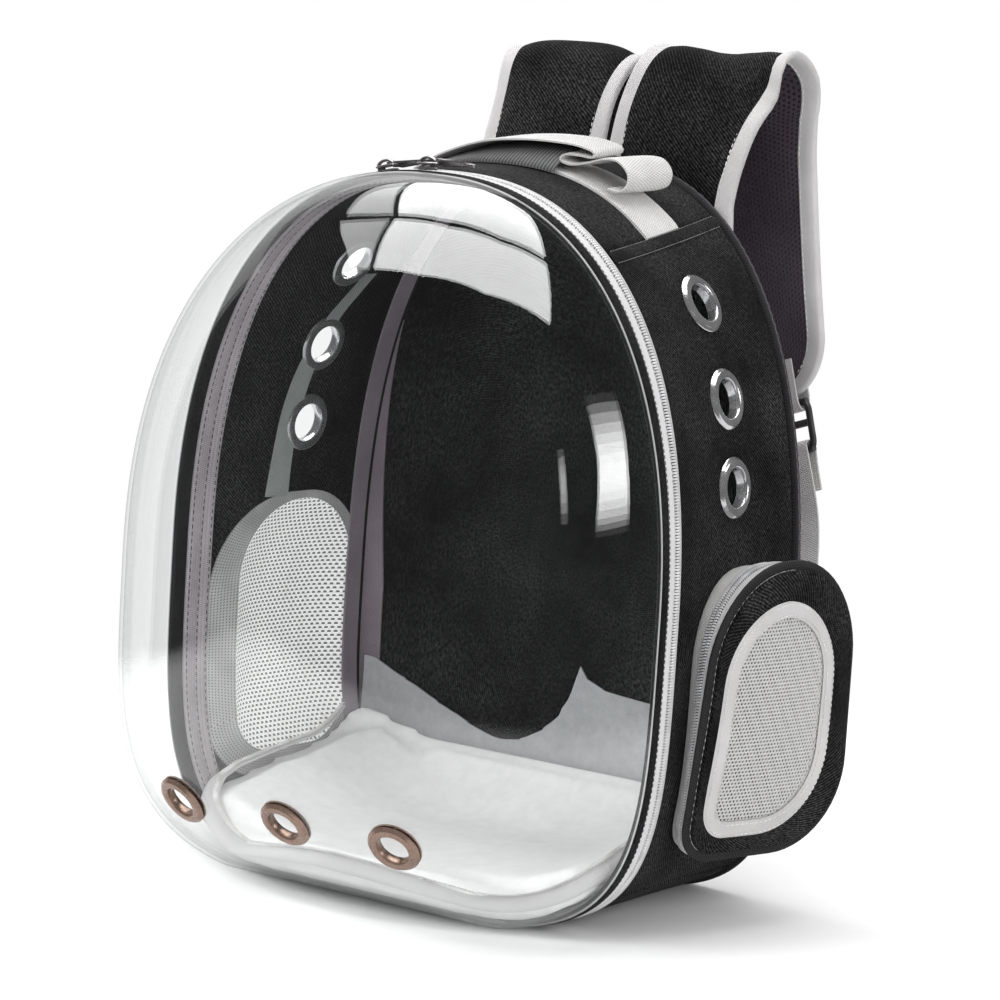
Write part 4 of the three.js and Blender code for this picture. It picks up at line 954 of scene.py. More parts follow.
BACKING = [(198, -9.5, 9.0), (222, -8.2, 7.8), (250, -6.0, 7.4), (272, -1.6, 7.0),
           (290, 4.5, 6.0), (305, 11.0, 5.4), (318, 20.0, 5.2), (330, 28.0, 5.0)]
for name, side in (("right", 1), ("left", -1)):
    flip = np.array([side, 1.0, 1.0])
    middle, _ = curve_through(BACKING, 90)
    ys = middle[:, 1:2] + middle[:, 2:] * np.linspace(-1, 1, 15)
    zs = middle[:, :1] + 0 * ys
    layers = [np.stack([side_reach(ys, zs) - WALL - d, ys, zs], -1) * flip for d in (0.3, 1.2)]
    tape = sheet("backing_ribbon_" + name, *layers, BACKING_TAPE)
    cut(tape, [borer("bore", c * flip, n * flip, EYELET_BORE + 1.6, 12) for c, n in eyelet_places])
    place(tape, "grey_tape")
    zs = np.linspace(60, 300, 80)[:, None]
    rim_x = side_reach(74, zs) - WALL - 1.4
    wide = 15.0 * np.clip((300 - zs) / 160, 0.02, 1)
    xs = rim_x - wide * np.linspace(0, 1, 9)
    layers = [np.stack([xs, 0 * xs + y, zs + 0 * xs], -1) * flip for y in (75.9, 75.0)]
    place(sheet("corner_ribbon_" + name, *layers, SEAM_TAPE), "grey_tape")


# Side pockets

pocket_plane = side_reach((FACE_BOX[0] + FACE_BOX[1]) / 2, (FACE_BOX[2] + FACE_BOX[3]) / 2)


def face_reach(y, z):
    along = (y - FACE_BOX[0]) / (FACE_BOX[1] - FACE_BOX[0])
    up = (z - FACE_BOX[2]) / (FACE_BOX[3] - FACE_BOX[2])
    low = lerp(POCKET_REACH["front_bottom"], POCKET_REACH["rear_bottom"], along)
    high = lerp(POCKET_REACH["front_top"], POCKET_REACH["rear_top"], along)
    away = (2 * along - 1) ** 2 + (2 * up - 1) ** 2
    return pocket_plane + lerp(low, high, up) + FACE_CROWN * (1 - np.minimum(away, 1))


def pocket_loop(depth, inset):
    foot, rim = base_outline(inset), face_outline(inset)
    a = np.column_stack([side_reach(foot[:, 0], foot[:, 1]) + POCKET_SEAT, foot])
    b = np.column_stack([face_reach(rim[:, 0], rim[:, 1]) - FACE_THICK, rim])
    return lerp(a, b, depth)


def pocket_band(name, start, end, crown, proud, wall, material, side, steps=8):
    part = np.linspace(0, 1, steps + 1)
    flip = np.array([side, 1.0, 1.0])
    outer = np.stack([pocket_loop(lerp(start, end, p), -proud - crown * (1 - (2 * p - 1) ** 4))
                      for p in part], 1)
    inner = np.stack([pocket_loop(lerp(start, end, p), wall) for p in part], 1)
    return sheet(name, outer * flip, inner * flip, material, closed=True)


def face_points(loop, lift, side):
    return np.column_stack([face_reach(loop[:, 0], loop[:, 1]) + lift, loop]) * np.array([side, 1.0, 1.0])


def inside(loop, y, z):
    y2, z2 = np.roll(loop[:, 0], -1), np.roll(loop[:, 1], -1)
    crossing = (loop[:, 1] > z[:, None]) != (z2 > z[:, None])
    rise = np.where(z2 == loop[:, 1], 1e9, z2 - loop[:, 1])
    at = loop[:, 0] + (z[:, None] - loop[:, 1]) * (y2 - loop[:, 0]) / rise
    return (crossing & (y[:, None] < at)).sum(1) % 2 == 1


def net(name, side, pitch=2.35, hole=0.8):
    """A knitted mesh of six-sided cells with an open middle, on the pocket's face."""
    rows = np.arange(WINDOW_BOX[2], WINDOW_BOX[3], pitch * math.sqrt(3) / 2)
    cells = [(y + (k % 2) * pitch / 2, z) for k, z in enumerate(rows)
             for y in np.arange(WINDOW_BOX[0], WINDOW_BOX[1], pitch)]
    cells = np.array(cells)
    cells = cells[inside(window_outline(2.5), cells[:, 0], cells[:, 1])]
    turn = np.radians(30 + 60 * np.arange(6))
    ring_of = np.stack([np.cos(turn), np.sin(turn)], -1)
    outer = cells[:, None] + ring_of * pitch / math.sqrt(3)
    uneven = 1 + 0.06 * np.sin(cells[:, :1, None] * 0.7 + cells[:, 1:, None] * 0.4)
    inner = cells[:, None] + ring_of * hole * uneven
    layers = []
    for loops, lift in ((outer, -0.35), (inner, -0.75), (outer, -1.25), (inner, -1.25)):
        flat = np.round(loops.reshape(-1, 2), 5)
        layers.append(face_points(flat, lift, side))
    count = len(cells) * 6
    k = np.arange(count)
    after = k - k % 6 + (k % 6 + 1) % 6
    faces = np.concatenate([
        np.stack([k, after, count + after, count + k], -1),
        np.stack([count + k, count + after, 3 * count + after, 3 * count + k], -1),
        np.stack([2 * count + k, 3 * count + k, 3 * count + after, 2 * count + after], -1),
    ])
    points = np.concatenate(layers)
    return new_object(name, points, faces, MESH, points[faces][..., 1:].reshape(-1, 2), sharp=80)


for name, side in (("right", 1), ("left", -1)):
    flip = np.array([side, 1.0, 1.0])
    place(pocket_band("pocket_cuff_" + name, 0, 0.35, 0.5, 0, 1.6, WHITE, side), "white_webbing",
          "pocket_wall_" + name)
    place(pocket_band("pocket_zip_bed_" + name, 0.37, 0.63, 0.1, 0, 1.6, TEETH_BED, side), "zip_nylon",
          "pocket_coil_" + name)
    place(pocket_band("pocket_rim_" + name, 0.65, 0.84, 0.4, 0, 1.6, GREY_TAPE, side), "white_webbing",
          "pocket_tape_" + name)
    place(pocket_band("pocket_cord_" + name, 0.86, 1.0, 1.2, 0.3, 3.6, BLACK_TRIM, side), "black_twill",
          "pocket_piping_" + name)
    part = np.linspace(0, 1, 15)
    inset = 2.2 + 2.1 * np.clip((part - 0.7) / 0.15, 0, 1)
    layers = []
    for d in (0, 0.6):
        mouth = base_outline(POCKET_HEM + 0.2 + d)
        mouth = np.column_stack([side_reach(mouth[:, 0], mouth[:, 1]) - WALL - 0.8, mouth])
        layers.append(np.stack([mouth, *(pocket_loop(p, i + d) for p, i in zip(part, inset))], 1) * flip)
    place(sheet("pocket_lining_" + name, *layers, BRIGHT_MESH, closed=True), "white_mesh")
    rim, hole = face_outline(4.2), window_outline(8.6)
    grid = lerp(rim[:, None], hole[:, None], np.linspace(0, 1, 8)[None, :, None])
    depth_at = face_reach(grid[..., 0], grid[..., 1])[..., None] - FACE_THICK
    layers = [np.concatenate([depth_at - d, grid], -1) * flip for d in (0.2, 0.8)]
    place(sheet("face_lining_" + name, *layers, BRIGHT_MESH, closed=True), "white_mesh")
    for k, depth in enumerate((0.425, 0.575)):
        line = pocket_loop(depth, -0.3)
        line = np.concatenate([line, line[:1]])
        away = unit(pocket_loop(depth, -4) - pocket_loop(depth, 0))
        away = np.concatenate([away, away[:1]])
        across = unit(pocket_loop(depth + 0.1, 0) - pocket_loop(depth - 0.1, 0))
        across = np.concatenate([across, across[:1]])
        reach = 0.13 * np.linalg.norm(pocket_loop(1, 0) - pocket_loop(0, 0), axis=1).mean()
        teeth = zip_teeth("pocket_teeth_%d_%s" % (k, name), line * flip, away * flip, across * flip,
                          TEETH, 1.6,
                          min(reach, 3.4), 1.3, closed=False)
        place(teeth, "zip_nylon")
    rim, hole = face_outline(3.9), window_outline(4.5)
    part = np.linspace(0, 1, 12)[None, :, None]
    grid = lerp(rim[:, None], hole[:, None], part)
    crown = 0.8 * np.sin(PI * part[..., 0]) * np.ones((len(rim), 1))
    top = np.concatenate([face_reach(grid[..., 0], grid[..., 1])[..., None] + crown[..., None], grid], -1)
    under = np.concatenate([face_reach(grid[..., 0], grid[..., 1])[..., None] - FACE_THICK, grid], -1)
    place(sheet("pocket_front_" + name, top * flip, under * flip, BLACK, closed=True), "black_twill",
          "pocket_face_" + name)
    place(net("pocket_net_" + name, side), "white_mesh", "pocket_mesh_" + name)
    # A dark sheet just behind each window's net: painted shade of the pocket's inside, seen through the net's
    # holes.
    grid = lerp(window_outline(3)[:, None], np.array(WINDOW_MIDDLE),
                np.linspace(0, 0.999, 14)[None, :, None])
    depth_at = face_reach(grid[..., 0], grid[..., 1])[..., None] - FACE_THICK
    layers = [np.concatenate([depth_at - d, grid], -1) * flip for d in (0.9, 1.4)]
    place(sheet("window_painted_shade_" + name, *layers, NET_PAINTED_SHADE, closed=True), "white_mesh")
    rim, hole = window_outline(0), window_outline(9)
    part = np.linspace(0, 1, 10)[None, :, None]
    grid = lerp(rim[:, None], hole[:, None], part)
    crown = 0.6 + 1.2 * (1 - (2 * part[..., 0] - 1) ** 4) * np.ones((len(rim), 1))
    top = np.concatenate([face_reach(grid[..., 0], grid[..., 1])[..., None] + crown[..., None], grid], -1)
    under = np.concatenate([face_reach(grid[..., 0], grid[..., 1])[..., None] + 0.3, grid], -1)
    place(sheet("window_tape_" + name, top * flip, under * flip, WHITE_TRIM, closed=True), "white_webbing",
          "window_binding_" + name)
    for k, inset in enumerate((1.6, 7.4)):
        loop = window_outline(inset)
        loop = np.concatenate([loop, loop[:1]])
        points = face_points(loop, 1.75, side)
        out = np.tile([side, 0, 0], (len(loop), 1))
        place(stitches("window_stitch_%d_%s" % (k, name), points, out, THREAD, 3.4, 2.3, 0.28),
              "white_webbing")


# Webbing over the top, and the grab handle folded on it

top_webbing = patch("flat_webbing", lambda y: seam_angle(y) + SLIT, lambda y: PI - seam_angle(y) - SLIT,
                    WEBBING_Y - WEBBING_WIDTH / 2, WEBBING_Y + WEBBING_WIDTH / 2, 3, WHITE,
                    swell=0.5, roll=0.5,
                    outer_at=2.2, inner_at=0.4, size=20, lift=TOP_LIFT)
place(top_webbing, "white_webbing", "top_webbing")


def gusset_height(x, y):
    half, top, widest, power, bow = outline_at(y)
    across = np.clip(np.abs(x) / half, 0, 1)
    up = (1 - across ** power) ** (1 / power)
    return widest + up * (top - widest - TOP_SAG * bow * up ** 4)


HANDLE_HALF, HANDLE_RISE = 66.0, 15.0
HANDLE_FOLD = [
    (-1.0, 0.08, 0, 0), (-0.72, 0.3, 0, 0), (-0.3, 0.6, 0, 1), (0.05, 0.76, 1, 3), (0.36, 0.86, 3, 6),
    (0.6, 0.94, 5, 9), (0.74, 0.88, 6, 10), (0.73, 0.72, 6, 9), (0.62, 0.62, 5, 6), (0.5, 0.5, 3, 3),
    (0.48, 0.32, 2, 2), (0.58, 0.24, 2, 0), (0.76, 0.54, 3, -4), (0.94, 1.02, 5, -8), (1.07, 1.24, 6, -8),
    (1.17, 1.04, 6, -6), (1.17, 0.6, 4, -4), (1.1, 0.24, 2, -2), (1.0, 0.08, 0, 0),
]
handle_points, handle_across = [], []
for along, height, back, turn in HANDLE_FOLD:
    x = HANDLE_HALF * along
    foot = gusset_height(x, WEBBING_Y) + SEAT * 2 + WEBBING_THICK * 1.5 + TOP_LIFT * 0.75
    z = foot + HANDLE_RISE * height
    handle_points.append((x, WEBBING_Y + back, z))
    slope = gusset_height(x, WEBBING_Y + 19) - gusset_height(x, WEBBING_Y - 19)
    twist = math.radians(turn)
    handle_across.append((-math.sin(twist), math.cos(twist), slope / WEBBING_WIDTH))
handle_points, handle_at = curve_through(handle_points, 150)
handle_across = np.stack([np.interp(handle_at, range(len(HANDLE_FOLD)), np.array(handle_across)[:, k])
                          for k in range(3)], -1)
handle_top, handle_under = even_ribbon(handle_points, handle_across, WEBBING_WIDTH / 2, WEBBING_THICK, 25)
place(sheet("handle_webbing", handle_top, handle_under, WHITE, sharp=60), "white_webbing", "grab_handle")
# A black ribbed sheet from the gusset up under the handle's rise: partly the handle's black underside, partly
# painted shadow of the white webbing.
part = np.linspace(-0.98, 0.5, 90)[:, None]
wide = np.linspace(-1, 1, 21)[None]
xs, ys = HANDLE_HALF * part + 0 * wide, WEBBING_Y - 3 + 21 * wide + 0 * part
rise = np.interp(part, [h[0] for h in HANDLE_FOLD[:5]], [h[1] for h in HANDLE_FOLD[:5]])
climb = np.sin(PI / 2 * np.clip((wide + 1) / 1.3, 0, 1)) ** 0.8
zs = gusset_height(xs, ys) + TOP_LIFT + 1.6 + (0.6 + HANDLE_RISE * rise * 0.86) * climb
layers = [np.stack([xs, ys, zs - d], -1) for d in (0, 1.2)]
place(sheet("handle_underside_and_shadow", *layers, RIBBED, sharp=60), "black_twill")


# Shoulder straps

STRAP_SPACING, STRAP_WIDTH, STRAP_END, STRAP_THICK, STRAP_EDGE = 46.0, 88.0, 70.0, 7.0, 4.4
STRAP_BINDING, STRAP_RISE, STRAP_REACH = 11.0, 54.0, 54.0
STRAP_DROP, STRAP_SPLAY, STRAP_BELOW = 132.0, 58.0, 62.0
STRAP_PATH = [
    (0.0, -1.0, 0.0, 0, 0), (0.02, -0.5, 0.0, 0, 0), (0.06, 0.0, 0.0, 0, 3), (0.2, 0.55, 0.02, 2, 8),
    (0.42, 0.9, 0.06, 12, 8), (0.64, 1.0, 0.1, 17, 7), (0.86, 0.84, 0.15, 15, 4), (0.98, 0.4, 0.2, 9, 0),
    (1.0, 0.0, 0.3, 5, -5), (0.94, -0.5, 0.64, 0, -10), (0.86, -1.0, 1.0, 0, -15),
]
strap_line = []
for k, (back, up, out, lean, twist) in enumerate(STRAP_PATH):
    below = STRAP_BELOW if k < len(STRAP_PATH) / 2 else STRAP_DROP
    strap_line.append((STRAP_SPACING + STRAP_SPLAY * out, BACK + GAP + STRAP_THICK / 2 + STRAP_REACH * back,
                       BACK_TOP + (STRAP_RISE if up > 0 else below) * up))
STRAP_FINE, strap_at = curve_through(strap_line, 1200)
STRAP_RUN = arc(STRAP_FINE)
STRAP_LENGTH = STRAP_RUN[-1]
STRAP_LEAN = np.array([[p[3], p[4]] for p in STRAP_PATH], float)


def strap_frames(lengths, side):
    """Centre, width direction, outward direction and tangent at lengths from the strap's root."""
    lengths = np.asarray(lengths, float)
    pick = lambda s: np.stack([np.interp(s, STRAP_RUN, STRAP_FINE[:, k]) for k in range(3)], -1)
    point = pick(lengths) * np.array([side, 1, 1])
    sway = np.interp(lengths / STRAP_LENGTH, (0, 0.12, 0.3, 0.45, 0.6, 1), (0, -4.5, 1, 5, 2, 0))
    point = point + sway[:, None] * np.array([1, 0, 0])
    tangent = unit((pick(lengths + 1.5) - pick(lengths - 1.5))) * np.array([side, 1, 1])
    index = np.interp(lengths, STRAP_RUN, strap_at)
    smooth = [np.convolve(np.pad(np.interp(np.linspace(0, 10, 401), range(11), STRAP_LEAN[:, k]), 20, "edge"),
                          np.ones(41) / 41, "valid") for k in range(2)]
    lean, twist = (np.interp(index, np.linspace(0, 10, 401), s) for s in smooth)
    turn = np.radians(lean + side * twist)
    level = np.stack([np.cos(turn), np.sin(turn), 0 * turn], -1)
    across = unit(level - (level * tangent).sum(-1, keepdims=True) * tangent)
    return point, across, unit(np.cross(across, tangent)), tangent


STRAP_ROUND = STRAP_LENGTH - STRAP_END / 2


def strap_half(lengths):
    return lerp(STRAP_WIDTH, STRAP_END, np.clip(2 * np.asarray(lengths) / STRAP_ROUND - 1, 0, 1)) / 2


def strap_pad(side, name):
    rim = STRAP_BINDING - 4
    end = STRAP_END / 2 - rim
    lengths = np.concatenate([np.linspace(0, STRAP_ROUND, 130),
                              STRAP_ROUND + end * np.sin(np.linspace(0.08, 1.5, 18))])
    rounding = end * np.sqrt(np.maximum(1 - ((lengths - STRAP_ROUND) / end) ** 2, 0.0))
    half = np.where(lengths > STRAP_ROUND, rounding, strap_half(lengths) - rim)
    point, across, out, _ = strap_frames(lengths, side)
    part = np.linspace(-1, 1, 27)
    mid = point[:, None] + across[:, None] * (part[None, :, None] * half[:, None, None])
    crown = lerp(STRAP_THICK + 1.6, STRAP_EDGE - 0.6, np.abs(part) ** 2.6)[None] / 2
    dent = 0.9 * (ripple(mid, 26, 1.3 + side) - 0.5) * (1 - part[None] ** 4)
    bow = 4.5 * np.exp(-((lengths - 0.33 * STRAP_LENGTH) / 42) ** 2)[:, None] * (1 - part[None] ** 4)
    face = mid + out[:, None] * (crown + dent + bow)[..., None]
    lining = mid - out[:, None] * (crown - 0.6 * dent)[..., None]
    middle = mid + out[:, None] * (0.3 * dent)[..., None]
    outer = sheet("strap_face_" + name, face, middle, BLACK, sharp=60)
    inner = sheet("strap_lining_" + name, middle, lining, STRAP_MESH, sharp=60)
    place(outer, "black_twill", "strap_pad_" + name)
    place(inner, "air_mesh")
    return outer, inner


def binding_line(side, inset):
    """Stations along a line that far in from the strap's edge: down one side, round the end and up."""
    down = np.linspace(0, STRAP_ROUND, 130)
    turns = np.linspace(0, PI, 42)[1:-1]
    half = STRAP_END / 2 - inset
    rows = [(down, strap_half(down) - inset, np.zeros_like(down)),
            (STRAP_ROUND + half * np.sin(turns), half * np.cos(turns), turns),
            (down[::-1], -(strap_half(down[::-1]) - inset), np.full_like(down, PI))]
    lengths, reach, turn = (np.concatenate(c) for c in zip(*rows))
    point, across, out, tangent = strap_frames(lengths, side)
    outward = unit(across * np.cos(turn)[:, None] + tangent * np.sin(turn)[:, None])
    return point + across * reach[:, None], outward, out


def strap_edge_tape(side, name):
    line, outward, out = binding_line(side, STRAP_BINDING / 2)
    half, thick = STRAP_BINDING / 2, STRAP_EDGE / 2
    section = [(-half, thick * 0.6), (-half + 0.4, thick + 0.45), (0, thick + 0.55),
               (half - 1.6, thick + 0.4), (half - 0.5, thick * 0.8), (half, 0),
               (half - 0.5, -thick * 0.8), (half - 1.6, -thick - 0.4), (0, -thick - 0.55),
               (-half + 0.4, -thick - 0.45), (-half, -thick * 0.6)]
    rows = np.stack([line + outward * a + out * b for a, b in section], 1)
    place(swept("strap_tape_" + name, rows, WHITE_TRIM, sharp=50), "white_webbing", "strap_binding_" + name)
    line, outward, out = binding_line(side, STRAP_BINDING - 1.4)
    for face, to in (("out", out), ("in", -out)):
        row = stitches("strap_stitch_%s_%s" % (face, name), line + to * (thick + 0.5), to,
                       THREAD, 3.6, 2.5, 0.3)
        place(row, "white_webbing")


LOWER_WIDTH, LOWER_THICK, TAB_LENGTH, WEB_TAIL = 25.0, 1.6, 22.0, 24.0
ADJ_H, ADJ_T, ADJ_BAR = 30.0, 4.0, 4.5
ANCHOR_OUT, ANCHOR_Z = 127.0, 40.0
PLATE_DROP = ADJ_H / 2 + 2
TAB_OUT = STRAP_THICK / 2 + SEAT + LOWER_THICK / 2
SLOT_TOP = ADJ_H / 2 - ADJ_BAR
TAB_TURN = PLATE_DROP - SLOT_TOP + 2 * GAP + LOWER_THICK / 2
WEB_OUT = ADJ_T / 2 + GAP + LOWER_THICK / 2
WEB_TURN = PLATE_DROP + SLOT_TOP - 2 * GAP - LOWER_THICK / 2
ANCHOR_Y = BACK + SEAT + LOWER_THICK / 2


def round_bar(name, points, radius_a, radius_b, normals, material, closed=False):
    """A bar with an oval section along points: one radius along its normal, the other across it."""
    points, normals = np.asarray(points, float), np.asarray(normals, float)
    along = np.roll(points, -1, 0) - np.roll(points, 1, 0) if closed else np.gradient(points, axis=0)
    side = unit(np.cross(unit(along), normals))
    a = np.arange(14) * 2 * PI / 14
    rows = points[:, None] + normals[:, None] * (radius_a * np.cos(a))[None, :, None]
    rows = rows + side[:, None] * (radius_b * np.sin(a))[None, :, None]
    return swept(name, rows, material, closed=closed)


def join(name, pieces):
    bpy.ops.object.select_all(action="DESELECT")
    for piece in pieces:
        piece.select_set(True)
    bpy.context.view_layer.objects.active = pieces[0]
    bpy.ops.object.join()
    pieces[0].name = name
    return pieces[0]


def eased(points, steps=7):
    """A polyline with its corners eased by a smooth curve."""
    line, _ = curve_through(points, len(points) * steps)
    return line


for name, side in (("right", 1), ("left", -1)):
    outer, inner = strap_pad(side, name)
    strap_edge_tape(side, name)
    point, across, out, _ = (v[0] for v in strap_frames([STRAP_LENGTH], side))
    down = unit(np.cross(out, across))
    down = down if down[2] < 0 else -down
    at = lambda o, d, a=0.0: point + out * o + down * d + across * a
    loop = rounded([(a, d) for a, d in ((-15.2, 2.0), (15.2, 2.0), (15.2, 30.0), (-15.2, 30.0))], 6, 6)
    rim = [at(0, d + 1, a) for a, d in loop]
    frame_ring = round_bar("rim", rim, ADJ_T / 2, 1.9, np.tile(out, (len(rim), 1)), PLASTIC, closed=True)
    bars = [round_bar("bar", [at(0, d, a) for a in np.linspace(-15, 15, 9)], ADJ_T / 2 - 0.3, w,
                      np.tile(out, (9, 1)), PLASTIC) for d, w in ((15.4, 2.2), (3.2, 1.9), (30.6, 1.9))]
    place(join("ladder_lock_" + name, [frame_ring, *bars]), "black_plastic", "adjuster_" + name)
    bend = ((-TAB_OUT, -TAB_LENGTH), (-TAB_OUT, -8), (-TAB_OUT, 0), (-TAB_OUT * 0.7, TAB_TURN - 1.6),
            (0, TAB_TURN), (TAB_OUT * 0.7, TAB_TURN - 1.6), (TAB_OUT, 0), (TAB_OUT, -8),
            (TAB_OUT, -TAB_LENGTH))
    tab = [at(o, d) for o, d in bend]
    tab = eased(tab)
    top, under = even_ribbon(tab, np.tile(across, (len(tab), 1)), LOWER_WIDTH / 2, LOWER_THICK, 15)
    place(sheet("strap_loop_" + name, top, under, WHITE, sharp=60), "white_webbing", "strap_tab_" + name)
    root = at(0, PLATE_DROP + ADJ_H)
    hung = [(WEB_OUT, WEB_TURN + ADJ_BAR + WEB_TAIL), (WEB_OUT, WEB_TURN + 14), (WEB_OUT, WEB_TURN + 1),
            (0, WEB_TURN - 0.4), (-WEB_OUT, WEB_TURN + 1), (-WEB_OUT, WEB_TURN + ADJ_BAR + 2)]
    line = [at(o, d) for o, d in hung]
    widths = [across] * len(line)
    tail = [(0.12, 0.1), (0.3, 0.34), (0.5, 0.62), (0.68, 0.85), (0.84, 0.98), (0.92, 1.0), (1.0, 1.0)]
    for k, (part, back) in enumerate(tail):
        line.append(np.array([lerp(root[0], side * ANCHOR_OUT, part) + side * 14 * math.sin(PI * part),
                              lerp(root[1], ANCHOR_Y, back), lerp(root[2], ANCHOR_Z, part)]))
        widths.append(unit(lerp(across, np.array([1.0, 0, 0]), (k + 1) / len(tail))))
    smooth, index = curve_through(line, 150)
    widths = np.stack([np.interp(index, range(len(widths)), np.array(widths)[:, k]) for k in range(3)], -1)
    top, under = even_ribbon(smooth, widths, LOWER_WIDTH / 2, LOWER_THICK, 15)
    place(sheet("lower_strap_" + name, top, under, WHITE, sharp=60), "white_webbing",
          "lower_webbing_" + name)


# Floor pad

PAD_THICK, PAD_NOSE, PAD_REAR, PAD_BEND = 15.0, 52.0, 70.0, 8.0
SKIRT = [(-146, 97.0), (-134, 95.5), (-112, 86.5), (-88, 77.0), (-64, 68.0), (-42, 61.5), (-26, 64.0),
         (-10, 73.0), (2, 84.0), (9, 98.0), (14, 114.0), (19, 107.0), (30, 102.5), (57, 100.0),
         (90, 98.5), (120, 98.0), (146, 98.0)]


def floor_height(x, y, depth):
    deep = np.clip((FRONT - y) / (SHELL_DEPTH - depth), 0, 1)
    shrink = np.sqrt(1 - deep ** 2)
    half, top, widest, power, bow = outline_at(np.maximum(y, FRONT))
    across = np.clip(np.abs(x) / shrink / (half - depth - SIDE_SAG * bow), 0, 1)
    low = (1 - across ** BOTTOM_POWER) ** (1 / BOTTOM_POWER)
    rim = np.maximum(widest - low * (widest + FLATTENED - depth), depth)
    return np.where(y < FRONT, SHELL_FOCUS + (rim - SHELL_FOCUS) * shrink, rim)


def floor_pad():
    """The pad's two faces: it lies on the floor, climbs the sides a little and curves up at the rear."""
    across = np.linspace(-1, 1, 81)[:, None]
    b = np.linspace(0, 1, 60)[None]
    nose = FRONT - PAD_NOSE * (1 - across ** 2) + 2
    y = lerp(nose, PAD_REAR, b)
    edge_z = 36.5 + 0.154 * (y - FRONT - 8)
    shrink = np.sqrt(1 - np.clip((FRONT - y) / (SHELL_DEPTH - 6), 0, 1) ** 2)
    half = side_reach(np.maximum(y, FRONT + 26), edge_z) * shrink - WALL - 5.5
    x = across * half
    floor = floor_height(x, y, RING_WALL + 3)
    bend = np.clip((y - PAD_BEND) / (PAD_REAR - PAD_BEND), 0, 1)
    middle = np.maximum(floor, 4) + PAD_THICK + 49 * (1 - np.sqrt(1 - 0.98 * bend ** 2)) / 0.8
    lip = np.where(y < FRONT, floor + 6, edge_z)
    top = np.minimum(lerp(middle, np.maximum(lip, middle - 12), np.abs(across) ** 3), 70)
    top = top - (top - floor - 5) * np.clip(1 - b / 0.05, 0, 1) ** 2
    under = np.minimum(np.maximum(floor, top - PAD_THICK), top - 7)
    soft = 0.8 * (ripple(np.stack([x, y, top], -1), 40) - 0.5) * (1 - across ** 6)
    return np.stack([x, y, under], -1), np.stack([x, y, top + soft], -1)


pad_under, pad_top = floor_pad()
pad = sheet("plush_pad", pad_top, pad_under, PLUSH)
place(pad, "plush", "floor_pad")


def skirt():
    """Thin cloth that stands up behind the pad, with a waved upper edge, coloured grey as painted shade on the
    white plush.
    """
    line = np.array(SKIRT, float)
    xs = np.sort(np.concatenate([np.linspace(-143, 143, 150), line[1:-1, 0]]))
    top = np.interp(xs, line[:, 0], line[:, 1])
    soft = np.convolve(np.pad(top, 3, "edge"), np.ones(7) / 7, "valid")
    top = np.where(np.abs(xs - 14) < 6, top, soft)
    part = np.linspace(0, 1, 26)[None]
    foot = floor_height(xs, np.full_like(xs, 70.0), RING_WALL + GAP) + 2
    top = np.maximum(top, foot + 6)
    z = lerp(foot[:, None], top[:, None], part)
    fold = 1.6 * np.sin(xs[:, None] / 17 + 1.5 * part) * part * (1 - 0.4 * part)
    fold = fold + 0.8 * np.sin(xs[:, None] / 7.3) * part ** 3
    y = 74.6 - 2.4 * (1 - part) ** 2 - np.abs(fold)
    x = np.clip(xs[:, None], -side_reach(74, z) + WALL + 2.5, side_reach(74, z) - WALL - 2.5)
    front, back = (np.stack([x, y + d, z], -1) for d in (-0.6, 0.6))
    return sheet("plush_skirt", front, back, PLUSH_PAINTED_SHADE)


skirt_piece = skirt()
place(skirt_piece, "plush")


def puff_up(piece, voxel, pressure, cap, frames=20):
    """Remesh a pad and swell it with a cloth simulation, moving no point further than the cap."""
    m = piece.modifiers.new("voxels", "REMESH")
    m.mode, m.voxel_size = "VOXEL", voxel * MM
    apply_modifiers(piece)
    before = np.empty(len(piece.data.vertices) * 3)
    piece.data.vertices.foreach_get("co", before)
    cloth = piece.modifiers.new("cloth", "CLOTH")
    cloth.settings.quality = 5
    cloth.settings.mass = 0.3
    cloth.settings.tension_stiffness = 25
    cloth.settings.compression_stiffness = 25
    cloth.settings.bending_stiffness = 4
    cloth.settings.use_pressure = True
    cloth.settings.uniform_pressure_force = pressure
    cloth.settings.effector_weights.gravity = 0
    cloth.point_cache.frame_start, cloth.point_cache.frame_end = 1, frames
    for frame_number in range(1, frames + 1):
        bpy.context.scene.frame_set(frame_number)
    apply_modifiers(piece)
    bpy.context.scene.frame_set(1)
    after = np.empty(len(piece.data.vertices) * 3)
    piece.data.vertices.foreach_get("co", after)
    before, after = before.reshape(-1, 3), after.reshape(-1, 3)
    move = after - before
    size = np.linalg.norm(move, axis=1, keepdims=True)
    after = before + move * np.minimum(1, cap * MM / np.maximum(size, 1e-9))
    after[:, 2] = np.maximum(after[:, 2], before[:, 2].min())
    piece.data.vertices.foreach_set("co", after.ravel())
    m = piece.modifiers.new("smooth", "SUBSURF")
    m.levels = 1
    apply_modifiers(piece)
    piece.data.polygons.foreach_set("use_smooth", [True] * len(piece.data.polygons))
    piece.data.materials.clear()
    piece.data.materials.append(PLUSH)


